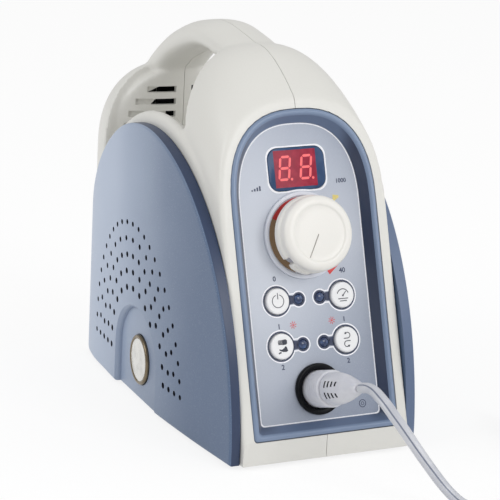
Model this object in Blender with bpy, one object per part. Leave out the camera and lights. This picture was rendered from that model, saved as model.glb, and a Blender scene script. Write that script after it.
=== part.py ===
"""Control unit of a surgical micromotor, with its lead and handpiece, for Blender 4.5.

Units are metres, +Z up, the control panel facing -Y. The unit is drawn in a body frame whose
origin lies under the middle of the chin, at the bottom edge of the housing. Pieces of the control
panel are drawn in a panel frame: X to the right, Y up the sloping panel, Z out of it.
"""
import bmesh
import bpy
from math import cos, pi, radians, sin, sqrt, tan
from mathutils import Matrix, Vector

# General clearances and walls
GAP = 0.0003
SLIDE_GAP = 0.0004
OVERRUN = 0.004
WALL = 0.0025
MERGE = 0.00005
ROUND_STEPS = 32
SMALL_STEPS = 20

# Housing: overall form
PANEL_SLOPE = radians(18)
CHIN_HEIGHT = 0.0124
BODY_DEPTH = 0.222
BODY_HALF_WIDTH = 0.0484
FOOT_STAND = 0.002
PLAN_SHARES = (
    (0.0, 1.0), (0.315, 1.0), (0.495, 0.984), (0.653, 0.959), (0.766, 0.926),
    (0.856, 0.893), (0.914, 0.857), (0.959, 0.785), (1.0, 0.66),
)

# Housing: hood behind the control panel
BEZEL_SPRING = 0.125
BEZEL_RISE = 0.0615
BEZEL_POWER = 2.5
CREASE = 0.0012
HOOD_DEPTH = 0.042
HOOD_RIM_HALF_WIDTH = 0.0465
HOOD_SPRING_LIFT = 0.025
HOOD_TOP_LIFT = 0.0335
HOOD_SWELL_POWER = 1.9
HOOD_DEPTH_SHARES = (0.0, 0.012, 0.035, 0.1, 0.2, 0.36, 0.56, 0.78, 1.0)
HOOD_CREASE_SHARES = (1.0, 0.3, 0.0, 0.0, 0.0, 0.0, 0.0, 0.0, 0.0)
ARCH_STEPS = 10

# Housing: saddle between the hood and the rear shell, with a crest over each side pad
SADDLE_FRONT = 0.034
SADDLE_LAP = 0.022
SADDLE_BACK = BODY_DEPTH - SADDLE_LAP
SADDLE_STEPS = 13
CREST_LENGTH = 0.117
CREST_CENTRE_SETBACK = 0.107
CREST_CENTRE = BODY_DEPTH - CREST_CENTRE_SETBACK
CREST_HEIGHT = 0.1585
CREST_ROUND = 0.0045
TROUGH_FRONT_HEIGHT = 0.138
TROUGH_BACK_HEIGHT = 0.124
TROUGH_HALF_WIDTH = 0.026
TROUGH_CREST_DROP = 0.006
TROUGH_SLOPE_SHARES = ((0.2, 0.1), (0.5, 0.5), (0.8, 0.9), (1.0, 1.0))

# Housing: rear shell
REAR_DEPTH = 0.029
REAR_RIM = BODY_DEPTH - REAR_DEPTH
REAR_POWER = 2.5
REAR_STATION_SHARES = ((0.0, 1.0), (0.42, 0.98), (0.76, 0.94), (0.93, 0.895), (1.0, 0.86))
REAR_TOP = 0.17
REAR_SPRING = 0.118
LOUVRE_BULGE = 0.01
LOUVRE_ROOT = 0.001
LOUVRE_HALF_WIDTH = 0.038
LOUVRE_RIM_STEP = 0.004
LOUVRE_FOOT_DROP = 0.018
LOUVRE_BASE = REAR_SPRING - LOUVRE_FOOT_DROP
LOUVRE_ARC_STEPS = 8
SLOT_ROWS = 4
SLOT_TOP = 0.155
SLOT_PITCH = 0.007
SLOT_HEIGHT = 0.0034
SLOT_INNER = 0.0046
SLOT_OUTER = 0.033

# Housing: carrying handle
HANDLE_HALF_WIDTH = 0.0165
HANDLE_POWER = 2.6
HANDLE_POINTS = 20
HANDLE_PEAK = 0.2023
HANDLE_THICKNESS = 0.0155
HANDLE_STATION_SHARES = (
    (0.351, 0.924, 0.945), (0.414, 0.966, 1.0), (0.477, 0.983, 1.0), (0.541, 0.994, 0.98),
    (0.586, 1.0, 0.98), (0.631, 0.9995, 1.0), (0.689, 0.989, 1.08), (0.743, 0.966, 1.1),
    (0.788, 0.942, 1.12), (0.833, 0.912, 1.25), (0.878, 0.875, 1.3), (0.919, 0.83, 1.2),
)

# Side pads and their badges
PAD_END_SETBACK = 0.0095
PAD_END = BODY_DEPTH - PAD_END_SETBACK
PAD_LENGTH = 0.115
PAD_CENTRE_SETBACK = 0.0945
PAD_CENTRE = PAD_END - PAD_CENTRE_SETBACK
PAD_HEIGHT = 0.1515
PAD_STEPS = 16
PAD_THICKNESS = 0.0071
PAD_HALF_WIDTH = BODY_HALF_WIDTH + PAD_THICKNESS
PAD_CHAMFER = 0.0012
PAD_CHAMFER_RUN = 0.0016
PAD_PLAN_SHARES = (
    (0.0, 0.978), (0.2, 1.0), (0.4, 0.996), (0.531, 0.969), (0.667, 0.937), (0.757, 0.892),
    (0.856, 0.838), (0.923, 0.775), (0.964, 0.712),
)
PAD_ROW_SHARES = (0.0, 0.4, 0.75)
TONGUE_CENTRE = 0.121
TONGUE_HALF_WIDTH = 0.029
TONGUE_SPRING = 0.023
TONGUE_RISE = 0.0265
TONGUE_FRONT_FACE = 0.0538
TONGUE_REAR_FACE = 0.0482
BADGE_CENTRE = 0.119
BADGE_HEIGHT = 0.0217
BADGE_RADIUS = 0.0138
BADGE_STAND = 0.0022
BADGE_RECESS = 0.001
BADGE_FACE = 0.0509
BADGE_TURN = radians(5.5)

# Control panel: rim, plate, display
RIM_HALF_WIDTH = 0.042
RIM_FOOT = 0.0124
RIM_SPRING = 0.13
RIM_RISE = 0.051
RIM_SECTION = (
    (0.0, -0.0052), (0.0, -0.0004), (0.0006, 0.0005), (0.0017, 0.0009), (0.0028, 0.0005),
    (0.0034, -0.0005), (0.0069, -0.0052),
)
RIM_CORNER = 0.002
PLATE_FACE = -0.0055
PLATE_THICKNESS = 0.002
PLATE_INSET = 0.0018
WINDOW_HALF_WIDTH = 0.0165
WINDOW_LOW = 0.1392
WINDOW_HIGH = 0.1615
WINDOW_CORNER = 0.006
WINDOW_THICKNESS = 0.0017
WINDOW_DIAL_CLEARANCE = 0.0016
WINDOW_PROUD = 0.0003
DISPLAY_HALF_WIDTH = 0.0122
DISPLAY_LOW = 0.1435
DISPLAY_HIGH = 0.1604

# Control panel: speed knob
KNOB_HEIGHT = 0.1157
DIAL_RADIUS = 0.0227
DIAL_RIM = 0.0022
DIAL_RAISE = 0.0016
DIAL_FLOOR = 0.0005
KNOB_RADIUS = 0.0203
KNOB_WAIST_RADIUS = 0.0192
KNOB_FRONT_RADIUS = 0.0197
KNOB_STAND = 0.0072
KNOB_LENGTH = 0.0122
KNOB_FACE_RADIUS = 0.0141
KNOB_FACE_DEPTH = 0.0006
KNOB_WALL = 0.0022
KNOB_HUB_RADIUS = 0.0045
KNOB_NOTCH_WIDTH = 0.004
KNOB_NOTCH_DEPTH = 0.0022
KNOB_NOTCH_LENGTH = 0.005
KNOB_NOTCHES = 1
KNOB_FIRST_NOTCH = radians(225)
SHAFT_RADIUS = 0.003
POT_RADIUS = 0.0083
POT_DEPTH = 0.009
POT_BUSH_RADIUS = 0.0046

# Control panel: push buttons, indicator lamps, circuit board
BUTTON_SIDE = 0.019
BUTTON_UPPER = 0.083
BUTTON_LOWER = 0.0596
BUTTON_RADIUS = 0.0067
BUTTON_PROUD = 0.0017
BUTTON_EDGE = 0.0007
BUTTON_FLANGE_RADIUS = 0.0078
BUTTON_FLANGE_THICKNESS = 0.001
BUTTON_STEM_RADIUS = 0.002
BUTTON_TRAVEL = 0.001
LAMP_SIDE = 0.0062
LAMP_RADIUS = 0.0025
LAMP_PROUD = 0.0009
BOARD_FACE = -0.0153
BOARD_THICKNESS = 0.0016
BOARD_HALF_WIDTH = 0.0305
BOARD_LOW = 0.0495
BOARD_HIGH = 0.168
SWITCH_SIDE = 0.006
POST_RADIUS = 0.0025
POST_PLACE_SHARES = ((0.88, 0.025), (-0.88, 0.025), (0.7, 0.96), (-0.7, 0.96))

# Motor socket, plug and lead
SOCKET_HEIGHT = 0.0358
SOCKET_RING_RADIUS = 0.0134
SOCKET_RING_PROUD = 0.0022
SOCKET_BODY_RADIUS = 0.0116
SOCKET_BORE_RADIUS = 0.0102
SOCKET_DEPTH = 0.016
PLUG_RADIUS = 0.0097
PLUG_SEAT_DEPTH = 0.009
PLUG_LENGTH = 0.0165
PLUG_RIDGES = 5
PLUG_RIDGE_DEPTH = 0.0004
PLUG_RIDGE_PITCH = 0.0022
RELIEF_END = 0.041
RELIEF_ROOT_RADIUS = 0.0086
RELIEF_TIP_HALF_HEIGHT = 0.0026
RELIEF_TIP_HALF_WIDTH = 0.0042
RELIEF_SHARES = ((0.0, 0.0), (0.2, 0.04), (0.45, 0.25), (0.7, 0.62), (0.9, 0.93), (1.0, 1.0))
RELIEF_SLOTS = 4
RELIEF_SLOT_WIDTH = 0.0011
RELIEF_SLOT_PITCH = 0.0032
RELIEF_SLOT_START = 0.0165
CORD_DIAMETER = 0.0063
CORD_STEP_DIAMETERS = 2.2
CORD_ROUTE = (
    (0.0, -0.0325, 0.0476), (0.0, -0.0385, 0.0495), (0.0002, -0.0446, 0.0497),
    (0.0005, -0.0505, 0.0481), (0.0012, -0.0567, 0.0454), (0.0023, -0.0625, 0.0418), (0.0046, -0.0685, 0.0365),
    (0.0075, -0.0735, 0.0305), (0.0108, -0.0775, 0.0245), (0.0145, -0.0808, 0.0185),
    (0.0185, -0.0838, 0.0125), (0.0225, -0.0872, 0.0073), (0.0265, -0.0915, 0.0034),
    (0.0312, -0.0963, 0.0016), (0.0349, -0.1003, 0.0012), (0.0380, -0.1046, 0.0012),
    (0.0403, -0.1094, 0.0012), (0.0416, -0.1143, 0.0012), (0.0420, -0.1191, 0.0012),
)
COIL_CENTRE = (0.085, -0.132)
COIL_OUTER_RADIUS = 0.043
COIL_PITCH = 0.0069
COIL_TURNS = 5.5
COIL_LOOP_POINTS = 24

# Handpiece, lying behind the coil
HAND_SIDE = 0.122
HAND_TAIL = -0.082
HAND_RADIUS = 0.013
HAND_BOOT_LENGTH = 0.016
HAND_BOOT_TIP_RADIUS = 0.0044
HAND_BOOT_ROOT_RADIUS = 0.0095
HAND_MOTOR_LENGTH = 0.038
HAND_RING_LENGTH = 0.009
HAND_NOSE_LENGTH = 0.032
HAND_NECK_RADIUS = 0.0072
HAND_TIP_RADIUS = 0.0046
HAND_CORE_RADIUS = 0.0085
HAND_BORE_RADIUS = 0.0028
HAND_EDGE = 0.0008
SPINDLE_RADIUS = 0.0022
SPINDLE_PROUD = 0.004
SPINDLE_BORE_RADIUS = 0.0012
RING_FLUTES = 12
RING_FLUTE_DEPTH = 0.0006
HAND_CORD_ROUTE = (
    (0.1280, -0.1191, 0.0081), (0.1278, -0.1150, 0.0083), (0.1270, -0.1105, 0.0089),
    (0.1257, -0.1060, 0.0097), (0.1243, -0.1015, 0.0105), (0.1230, -0.0970, 0.0111),
    (0.1222, -0.0930, 0.0113), (0.1220, -0.0886, 0.0113),
)

# Base plate, feet and screws
BASE_THICKNESS = 0.0025
BASE_RAISE = 0.0
BASE_FRONT = 0.0035
BASE_STATION_SHARES = (0.27, 0.5, 0.68, 0.81, 0.89, 0.95)
POST_SIDE = 0.037
POST_FRONT = 0.026
POST_BACK_SETBACK = 0.042
POST_BACK = BODY_DEPTH - POST_BACK_SETBACK
POST_SIZE = 0.009
POST_HEIGHT = 0.03
FOOT_RADIUS = 0.008
FOOT_BORE_RADIUS = 0.0019
SCREW_RADIUS = 0.0015
SCREW_HEAD_RADIUS = 0.003
SCREW_HEAD_THICKNESS = 0.0006
SCREW_LENGTH = 0.014

# Rear connections
REAR_PLATE_HALF_WIDTH = 0.0265
REAR_PLATE_LOW = 0.02
REAR_PLATE_HIGH = 0.094
REAR_PLATE_THICKNESS = 0.0015
REAR_PLATE_LAP = 0.0025
INLET_WIDTH = 0.028
INLET_HEIGHT = 0.0225
INLET_CENTRE = 0.0355
INLET_DEPTH = 0.02
INLET_LIP = 0.0022
PIN_WIDTH = 0.002
PIN_SPACING = 0.007
ROCKER_SIDE = -0.0115
ROCKER_CENTRE = 0.062
ROCKER_WIDTH = 0.0125
ROCKER_HEIGHT = 0.019
ROCKER_WALL = 0.0016
ROCKER_DEPTH = 0.014
ROCKER_TILT = 9.0
FUSE_SIDE = 0.0125
FUSE_RADIUS = 0.0065
FUSE_BODY_DEPTH = 0.024
FUSE_CAP_DEPTH = 0.007
JACK_CENTRE = 0.083
JACK_RADIUS = 0.0072
JACK_BORE_RADIUS = 0.0045
JACK_DEPTH = 0.014

# Pieces inside
TRANSFORMER_SIZE = (0.056, 0.042, 0.048)
TRANSFORMER_SETBACK = 0.064
TRANSFORMER_PLACE = BODY_DEPTH - TRANSFORMER_SETBACK
TRANSFORMER_COIL_SHARE = 0.62
STANDOFF_RADIUS = 0.003
STANDOFF_HEIGHT = 0.006
MAIN_BOARD_SIZE = (0.07, 0.08, 0.0016)
MAIN_BOARD_PLACE = 0.086
MAIN_BOARD_INSET = 0.005
HEAT_SINK_SIZE = (0.03, 0.05, 0.022)
HEAT_SINK_FINS = 5
HEAT_SINK_FIN_SHARE = 0.45
HEAT_SINK_BASE_SHARE = 0.2

IVORY = (0.86, 0.85, 0.80, 1.0)
PAD_BLUE = (0.36, 0.46, 0.62, 1.0)
RIM_BLUE = (0.24, 0.33, 0.47, 1.0)
PLATE_BLUE = (0.62, 0.67, 0.78, 1.0)
BLACK = (0.02, 0.02, 0.022, 1.0)
WHITE = (0.9, 0.9, 0.87, 1.0)
LENS_RED = (0.35, 0.01, 0.03, 1.0)
CORD_GREY = (0.62, 0.61, 0.66, 1.0)
STEEL = (0.72, 0.73, 0.75, 1.0)
BOARD_GREEN = (0.03, 0.2, 0.08, 1.0)
LAMP_BLUE = (0.1, 0.14, 0.22, 1.0)
COPPER = (0.5, 0.22, 0.1, 1.0)


def make_material(name, colour, roughness, metallic=0.0):
    """A Principled BSDF with one colour, roughness and metallic value."""
    material = bpy.data.materials.new(name)
    material.use_nodes = True
    shader = material.node_tree.nodes["Principled BSDF"]
    shader.inputs["Base Color"].default_value = colour
    shader.inputs["Roughness"].default_value = roughness
    shader.inputs["Metallic"].default_value = metallic
    return material


def clear_scene():
    """Remove every object that the scene holds."""
    for item in list(bpy.data.objects):
        bpy.data.objects.remove(item, do_unlink=True)


clear_scene()
parts = bpy.data.collections.new("surgical_micromotor")
cutters = bpy.data.collections.new("cutters")
bpy.context.scene.collection.children.link(parts)
bpy.context.scene.collection.children.link(cutters)

ivory = make_material("ivory_plastic", IVORY, 0.35)
pad_blue = make_material("pad_plastic", PAD_BLUE, 0.45)
rim_blue = make_material("rim_plastic", RIM_BLUE, 0.3)
plate_blue = make_material("panel_film", PLATE_BLUE, 0.4, 0.4)
black_plastic = make_material("black_plastic", BLACK, 0.45)
white_plastic = make_material("white_plastic", WHITE, 0.3)
lens_red = make_material("red_filter", LENS_RED, 0.15)
cord_grey = make_material("cord_silicone", CORD_GREY, 0.5)
steel = make_material("steel", STEEL, 0.3, 1.0)
board_green = make_material("circuit_board", BOARD_GREEN, 0.5)
lamp_blue = make_material("lamp_lens", LAMP_BLUE, 0.15)
copper = make_material("copper_winding", COPPER, 0.4, 0.8)


def make_empty(name, parent=None, place=(0, 0, 0), turn=(0, 0, 0)):
    """An empty that carries the pieces of one frame."""
    empty = bpy.data.objects.new(name, None)
    empty.location = place
    empty.rotation_euler = turn
    empty.parent = parent
    parts.objects.link(empty)
    return empty


RIM_FRONT_REACH = RIM_SECTION[3][1] * cos(PANEL_SLOPE)
BODY_MIDDLE = (BODY_DEPTH + INLET_LIP + GAP - RIM_FRONT_REACH) / 2
body_frame = make_empty("body_frame", None, (0, -BODY_MIDDLE, FOOT_STAND))
panel_frame = make_empty(
    "panel_frame", body_frame,
    (0, -CHIN_HEIGHT * sin(PANEL_SLOPE), CHIN_HEIGHT - CHIN_HEIGHT * cos(PANEL_SLOPE)),
    (pi / 2 - PANEL_SLOPE, 0, 0),
)


def add_object(name, mesh, material=None, parent=body_frame, place=(0, 0, 0), cutter=False):
    """Link a mesh as a part, or as a cutter that the build leaves out."""
    item = bpy.data.objects.new(name, mesh)
    (cutters if cutter else parts).objects.link(item)
    item.parent = parent
    item.location = place
    if material:
        mesh.materials.append(material)
    if cutter:
        item.hide_render = True
        item.display_type = "WIRE"
    return item


def finish_mesh(name, bm, smooth=True):
    """Turn a bmesh with its faces pointing out into a mesh."""
    bmesh.ops.recalc_face_normals(bm, faces=bm.faces)
    mesh = bpy.data.meshes.new(name)
    bm.to_mesh(mesh)
    bm.free()
    if smooth:
        mesh.shade_smooth()
        mesh.set_sharp_from_angle(angle=radians(32))
    return mesh


def loft(name, rings, material=None, closed=False, **keys):
    """A skin over rings of equal point counts, capped at both ends or closed round."""
    bm = bmesh.new()
    rows = [[bm.verts.new(point) for point in ring] for ring in rings]
    count = len(rows[0])
    pairs = list(zip(rows, rows[1:] + rows[:1] if closed else rows[1:]))
    for low, high in pairs:
        for k in range(count):
            bm.faces.new((low[k], low[(k + 1) % count], high[(k + 1) % count], high[k]))
    if not closed:
        bm.faces.new(list(reversed(rows[0])))
        bm.faces.new(rows[-1])
    return add_object(name, finish_mesh(name, bm), material, **keys)


def prism(name, outline, low, high, material=None, axis="Z", **keys):
    """A straight solid over a flat outline, between two places on its axis."""
    place = {
        "X": lambda a, b, c: (c, a, b),
        "Y": lambda a, b, c: (a, c, b),
        "Z": lambda a, b, c: (a, b, c),
    }[axis]
    rings = [[place(a, b, c) for a, b in outline] for c in (low, high)]
    return loft(name, rings, material, **keys)


def box(name, low, high, material=None, **keys):
    """A box between two corners."""
    bm = bmesh.new()
    size = [b - a for a, b in zip(low, high)]
    middle = [(a + b) / 2 for a, b in zip(low, high)]
    bmesh.ops.create_cube(bm, size=1.0, matrix=Matrix.Translation(middle) @ Matrix.Diagonal((*size, 1)))
    return add_object(name, finish_mesh(name, bm, smooth=False), material, **keys)


def boxes(name, corners, material=None, **keys):
    """Several boxes in one object, for cutting."""
    bm = bmesh.new()
    for low, high in corners:
        size = [b - a for a, b in zip(low, high)]
        middle = [(a + b) / 2 for a, b in zip(low, high)]
        spot = Matrix.Translation(middle) @ Matrix.Diagonal((*size, 1))
        bmesh.ops.create_cube(bm, size=1.0, matrix=spot)
    return add_object(name, finish_mesh(name, bm, smooth=False), material, **keys)


def turned(name, profile, material=None, steps=ROUND_STEPS, axis="Z", **keys):
    """A solid of revolution from (radius, height) points that run from the axis back to the axis."""
    bm = bmesh.new()
    points = [bm.verts.new((radius, 0, height)) for radius, height in profile]
    edges = [bm.edges.new(pair) for pair in zip(points, points[1:])]
    bmesh.ops.spin(
        bm, geom=points + edges, axis=(0, 0, 1), cent=(0, 0, 0), steps=steps, angle=2 * pi,
        use_merge=True,
    )
    bmesh.ops.remove_doubles(bm, verts=bm.verts, dist=MERGE)
    if axis == "Y":
        bmesh.ops.rotate(bm, verts=bm.verts, cent=(0, 0, 0), matrix=Matrix.Rotation(-pi / 2, 3, "X"))
    if axis == "X":
        bmesh.ops.rotate(bm, verts=bm.verts, cent=(0, 0, 0), matrix=Matrix.Rotation(pi / 2, 3, "Y"))
    return add_object(name, finish_mesh(name, bm), material, **keys)


def rod(name, radius, low, high, material=None, **keys):
    """A plain round rod between two heights."""
    return turned(name, ((0, low), (radius, low), (radius, high), (0, high)), material, **keys)


def combine(item, other, operation):
    """Add an exact Boolean of one object with another."""
    modifier = item.modifiers.new(operation.lower(), "BOOLEAN")
    modifier.operation = operation
    modifier.solver = "EXACT"
    modifier.object = other
    return item


def cut(item, *others):
    """Cut others out of an object."""
    for other in others:
        combine(item, other, "DIFFERENCE")
    return item


def join(item, *others):
    """Unite others with an object."""
    for other in others:
        combine(item, other, "UNION")
    return item


def evaluated_mesh(item):
    """The mesh of an object with its modifiers applied, in its own frame."""
    bpy.context.view_layer.update()
    graph = bpy.context.evaluated_depsgraph_get()
    return bpy.data.meshes.new_from_object(item.evaluated_get(graph), depsgraph=graph)


def smooth_value(table, x):
    """Cubic interpolation through a table of (place, value) rows."""
    k = max(i for i in range(len(table) - 1) if i == 0 or table[i][0] <= x)
    (x0, y0), (x1, y1) = table[k], table[k + 1]
    before = table[k - 1] if k > 0 else table[k]
    after = table[k + 2] if k + 2 < len(table) else table[k + 1]
    width = x1 - x0
    slope0 = (y1 - before[1]) / (x1 - before[0])
    slope1 = (after[1] - y0) / (after[0] - x0)
    t = min(max((x - x0) / width, 0), 1)
    return (
        (2 * t**3 - 3 * t**2 + 1) * y0 + (t**3 - 2 * t**2 + t) * width * slope0
        + (3 * t**2 - 2 * t**3) * y1 + (t**3 - t**2) * width * slope1
    )


def smoothstep(t):
    """Zero to one with flat ends."""
    t = min(max(t, 0), 1)
    return t * t * (3 - 2 * t)


def body_half_width(y):
    """Half width of the ivory housing at a depth behind the chin."""
    return BODY_HALF_WIDTH * smooth_value(PLAN_SHARES, y / BODY_DEPTH)


def pad_half_width(y):
    """Distance of a pad's outer face from the middle plane."""
    return PAD_HALF_WIDTH * smooth_value(PAD_PLAN_SHARES, y / BODY_DEPTH)


def arch(half_width, foot, spring, rise, power, steps=ARCH_STEPS):
    """Outline of an arch, from its right foot over the crown to its left foot."""
    right = [(half_width, foot)]
    for k in range(steps):
        turn = pi / 2 * k / steps
        right.append((half_width * cos(turn) ** (2 / power), spring + rise * sin(turn) ** (2 / power)))
    return right + [(0, spring + rise)] + [(-u, v) for u, v in reversed(right)]


def rim_outline(inset, corner=RIM_CORNER):
    """Outline of the panel's rim, moved in by an inset, with small round bottom corners."""
    half = RIM_HALF_WIDTH - inset
    foot = RIM_FOOT + inset
    upper = arch(half, foot, RIM_SPRING, RIM_RISE - inset, BEZEL_POWER)[1:-1]
    corners = []
    for side in (-1, 1):
        for turn in (0, pi / 6, pi / 3, pi / 2):
            angle = turn if side < 0 else pi / 2 - turn
            corners.append((side * (half - corner + corner * cos(angle)),
                            foot + corner - corner * sin(angle)))
    return upper + corners


def ellipse_height(y, centre, length, height):
    """Height of a half ellipse that stands on the floor."""
    return height * sqrt(max(1 - ((y - centre) / length) ** 2, 0))


def crest_height(y):
    """Height of the housing's crest over a side pad."""
    return ellipse_height(y, CREST_CENTRE, CREST_LENGTH, CREST_HEIGHT)


def trough_height(y):
    """Height of the floor between the crests."""
    share = (y - SADDLE_FRONT) / (SADDLE_BACK - SADDLE_FRONT)
    floor = TROUGH_FRONT_HEIGHT + (TROUGH_BACK_HEIGHT - TROUGH_FRONT_HEIGHT) * share
    return min(floor, crest_height(y) - TROUGH_CREST_DROP)


def swell(share):
    """How far the hood has risen at a share of its depth."""
    return 1 - (1 - share) ** HOOD_SWELL_POWER


def hood_ring(share, crease, inset=0.0, foot=-OVERRUN, depth=None):
    """One section of the hood, parallel to the panel, in the panel's frame."""
    half = BODY_HALF_WIDTH + (HOOD_RIM_HALF_WIDTH - BODY_HALF_WIDTH) * share - crease - inset
    spring = BEZEL_SPRING + HOOD_SPRING_LIFT * swell(share)
    top = BEZEL_SPRING + BEZEL_RISE + HOOD_TOP_LIFT * swell(share) - crease - inset
    outline = arch(half, foot, spring, top - spring, BEZEL_POWER)
    return [(u, v, -(HOOD_DEPTH * share if depth is None else depth)) for u, v in outline]


def saddle_ring(y, inset=0.0):
    """One upright section of the housing between the hood and the rear shell."""
    half = body_half_width(y) - GAP - inset
    crest = crest_height(y)
    floor = trough_height(y)
    ridge = half - CREST_ROUND
    right = [
        (half, -OVERRUN), (half, crest - CREST_ROUND),
        (half - CREST_ROUND / 3, crest - CREST_ROUND / 3), (ridge, crest),
    ]
    for run, drop in TROUGH_SLOPE_SHARES:
        right.append((ridge + (TROUGH_HALF_WIDTH - ridge) * run, crest + (floor - crest) * drop))
    outline = right + [(-x, z) for x, z in reversed(right)]
    return [(x, y, z) for x, z in outline]


def saddle_cavity_ring(y, foot=-4 * OVERRUN):
    """One upright section of the space inside the saddle."""
    half = body_half_width(y) - GAP - WALL
    top = trough_height(y) - WALL
    return [(half, y, foot), (half, y, top), (-half, y, top), (-half, y, foot)]


def rear_ring(share, width_share, inset=0.0, foot=-2 * OVERRUN):
    """One upright section of the rear shell, at a share of its depth."""
    y = REAR_RIM + (BODY_DEPTH - REAR_RIM) * share
    if inset:
        y = REAR_RIM + inset + (BODY_DEPTH - REAR_RIM - 2 * inset) * share
    half = body_half_width(y) - inset
    outline = arch(half, foot, REAR_SPRING, REAR_TOP * width_share - REAR_SPRING - inset, REAR_POWER)
    return [(x, y, z) for x, z in outline]


def handle_ring(depth_share, top_share, thick_share, grow=0.0):
    """One upright oval section of the carrying handle."""
    y = BODY_DEPTH * depth_share
    top = HANDLE_PEAK * top_share
    half_height = HANDLE_THICKNESS * thick_share / 2
    ring = []
    for k in range(HANDLE_POINTS):
        turn = 2 * pi * k / HANDLE_POINTS
        across = abs(cos(turn)) ** (2 / HANDLE_POWER) * (1 if cos(turn) >= 0 else -1)
        up = abs(sin(turn)) ** (2 / HANDLE_POWER) * (1 if sin(turn) >= 0 else -1)
        ring.append((HANDLE_HALF_WIDTH * across, y, top - half_height + half_height * up))
    return ring


def louvre_plan(inset=0.0):
    """Plan of the bulging wall that carries the louvres."""
    half = LOUVRE_HALF_WIDTH - inset
    arc = []
    for k in range(LOUVRE_ARC_STEPS + 1):
        x = half * (1 - 2 * k / LOUVRE_ARC_STEPS)
        bow = 1 - (x / LOUVRE_HALF_WIDTH) ** 2
        arc.append((x, REAR_RIM + LOUVRE_ROOT - (LOUVRE_BULGE + LOUVRE_ROOT) * bow + inset))
    back = REAR_RIM + 2 * WALL
    return arc + [(-half, back), (half, back)]


def make_housing():
    """Both halves of the ivory housing, parted in the middle plane."""
    hood = loft(
        "hood_form",
        [hood_ring(s, CREASE * c) for s, c in zip(HOOD_DEPTH_SHARES, HOOD_CREASE_SHARES)],
        parent=panel_frame, cutter=True,
    )
    stations = [
        SADDLE_FRONT + (SADDLE_BACK - SADDLE_FRONT) * k / SADDLE_STEPS for k in range(SADDLE_STEPS + 1)
    ]
    shell = loft("housing_right", [saddle_ring(y) for y in stations], ivory)
    rear = loft("rear_form", [rear_ring(*row) for row in REAR_STATION_SHARES], cutter=True)
    louvre_arch = arch(
        LOUVRE_HALF_WIDTH, LOUVRE_BASE, REAR_SPRING, REAR_TOP - REAR_SPRING - LOUVRE_RIM_STEP, REAR_POWER
    )
    louvre = prism(
        "louvre_form", louvre_plan(), LOUVRE_BASE - OVERRUN, REAR_TOP + OVERRUN, cutter=True
    )
    louvre_trim = prism(
        "louvre_trim", louvre_arch, REAR_RIM - 2 * LOUVRE_BULGE, REAR_RIM + 4 * WALL, axis="Y", cutter=True
    )
    combine(louvre, louvre_trim, "INTERSECT")
    handle = loft("handle_form", [handle_ring(*row) for row in HANDLE_STATION_SHARES], cutter=True)
    join(shell, hood, louvre, rear, handle)

    shares = (WALL / HOOD_DEPTH, 0.3, 0.6, 1 - WALL / HOOD_DEPTH)
    hood_space = loft(
        "hood_space", [hood_ring(s, 0.0, WALL, CHIN_HEIGHT + WALL) for s in shares], parent=panel_frame,
        cutter=True,
    )
    chin_half = BODY_HALF_WIDTH - GAP - WALL
    chin_space = box("chin_space", (-chin_half, WALL, -3 * OVERRUN),
                     (chin_half, stations[1] + OVERRUN, CHIN_HEIGHT + WALL / 2), cutter=True)
    saddle_space = loft(
        "saddle_space", [saddle_cavity_ring(y) for y in stations[1:]], cutter=True,
    )
    rear_space = loft(
        "rear_space", [rear_ring(*row, inset=WALL, foot=-5 * OVERRUN) for row in REAR_STATION_SHARES],
        cutter=True,
    )
    louvre_space = prism(
        "louvre_space", louvre_plan(WALL), LOUVRE_BASE - OVERRUN, SLOT_TOP + SLOT_HEIGHT, cutter=True
    )
    front_hole = prism(
        "front_hole", rim_outline(-GAP), -WALL - OVERRUN, OVERRUN, parent=panel_frame, cutter=True
    )
    slots = []
    for row in range(SLOT_ROWS):
        middle = SLOT_TOP - SLOT_PITCH * row
        for side in (-1, 1):
            ends = sorted((side * SLOT_INNER, side * SLOT_OUTER))
            slots.append((
                (ends[0], REAR_RIM - 2 * LOUVRE_BULGE, middle - SLOT_HEIGHT / 2),
                (ends[1], REAR_RIM + WALL - GAP, middle + SLOT_HEIGHT / 2),
            ))
    louvre_slots = boxes("louvre_slots", slots, cutter=True)
    rear_hole = box(
        "rear_hole",
        (-REAR_PLATE_HALF_WIDTH + REAR_PLATE_LAP, BODY_DEPTH - WALL - OVERRUN,
         REAR_PLATE_LOW + REAR_PLATE_LAP),
        (REAR_PLATE_HALF_WIDTH - REAR_PLATE_LAP, BODY_DEPTH + OVERRUN, REAR_PLATE_HIGH - REAR_PLATE_LAP),
        cutter=True,
    )
    cut(shell, hood_space, chin_space, saddle_space, rear_space, louvre_space, front_hole, louvre_slots, rear_hole)

    base_top = BASE_RAISE + BASE_THICKNESS
    posts = []
    for y in (POST_FRONT, POST_BACK):
        inner = POST_SIDE - POST_SIZE / 2
        outer = body_half_width(y) - WALL / 2
        posts.append(((inner, y - POST_SIZE / 2, base_top + GAP), (outer, y + POST_SIZE / 2, POST_HEIGHT)))
    join(shell, boxes("right_posts", posts, cutter=True))
    for y in (POST_FRONT, POST_BACK):
        cut(shell, rod("post_bore", FOOT_BORE_RADIUS, -OVERRUN, SCREW_LENGTH + OVERRUN,
                       steps=SMALL_STEPS, place=(POST_SIDE, y, 0), cutter=True))
    reach = BODY_DEPTH + OVERRUN
    keep = box("right_half", (GAP / 2, 0, 0), (reach, reach, reach), cutter=True)
    combine(shell, keep, "INTERSECT")

    right = evaluated_mesh(shell)
    left = right.copy()
    left.transform(Matrix.Scale(-1, 4, (1, 0, 0)))
    left.flip_normals()
    bpy.data.objects.remove(shell, do_unlink=True)
    for name, mesh in (("housing_right", right), ("housing_left", left)):
        mesh.materials.clear()
        mesh.shade_smooth()
        mesh.set_sharp_from_angle(angle=radians(32))
        add_object(name, mesh, ivory)


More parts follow.
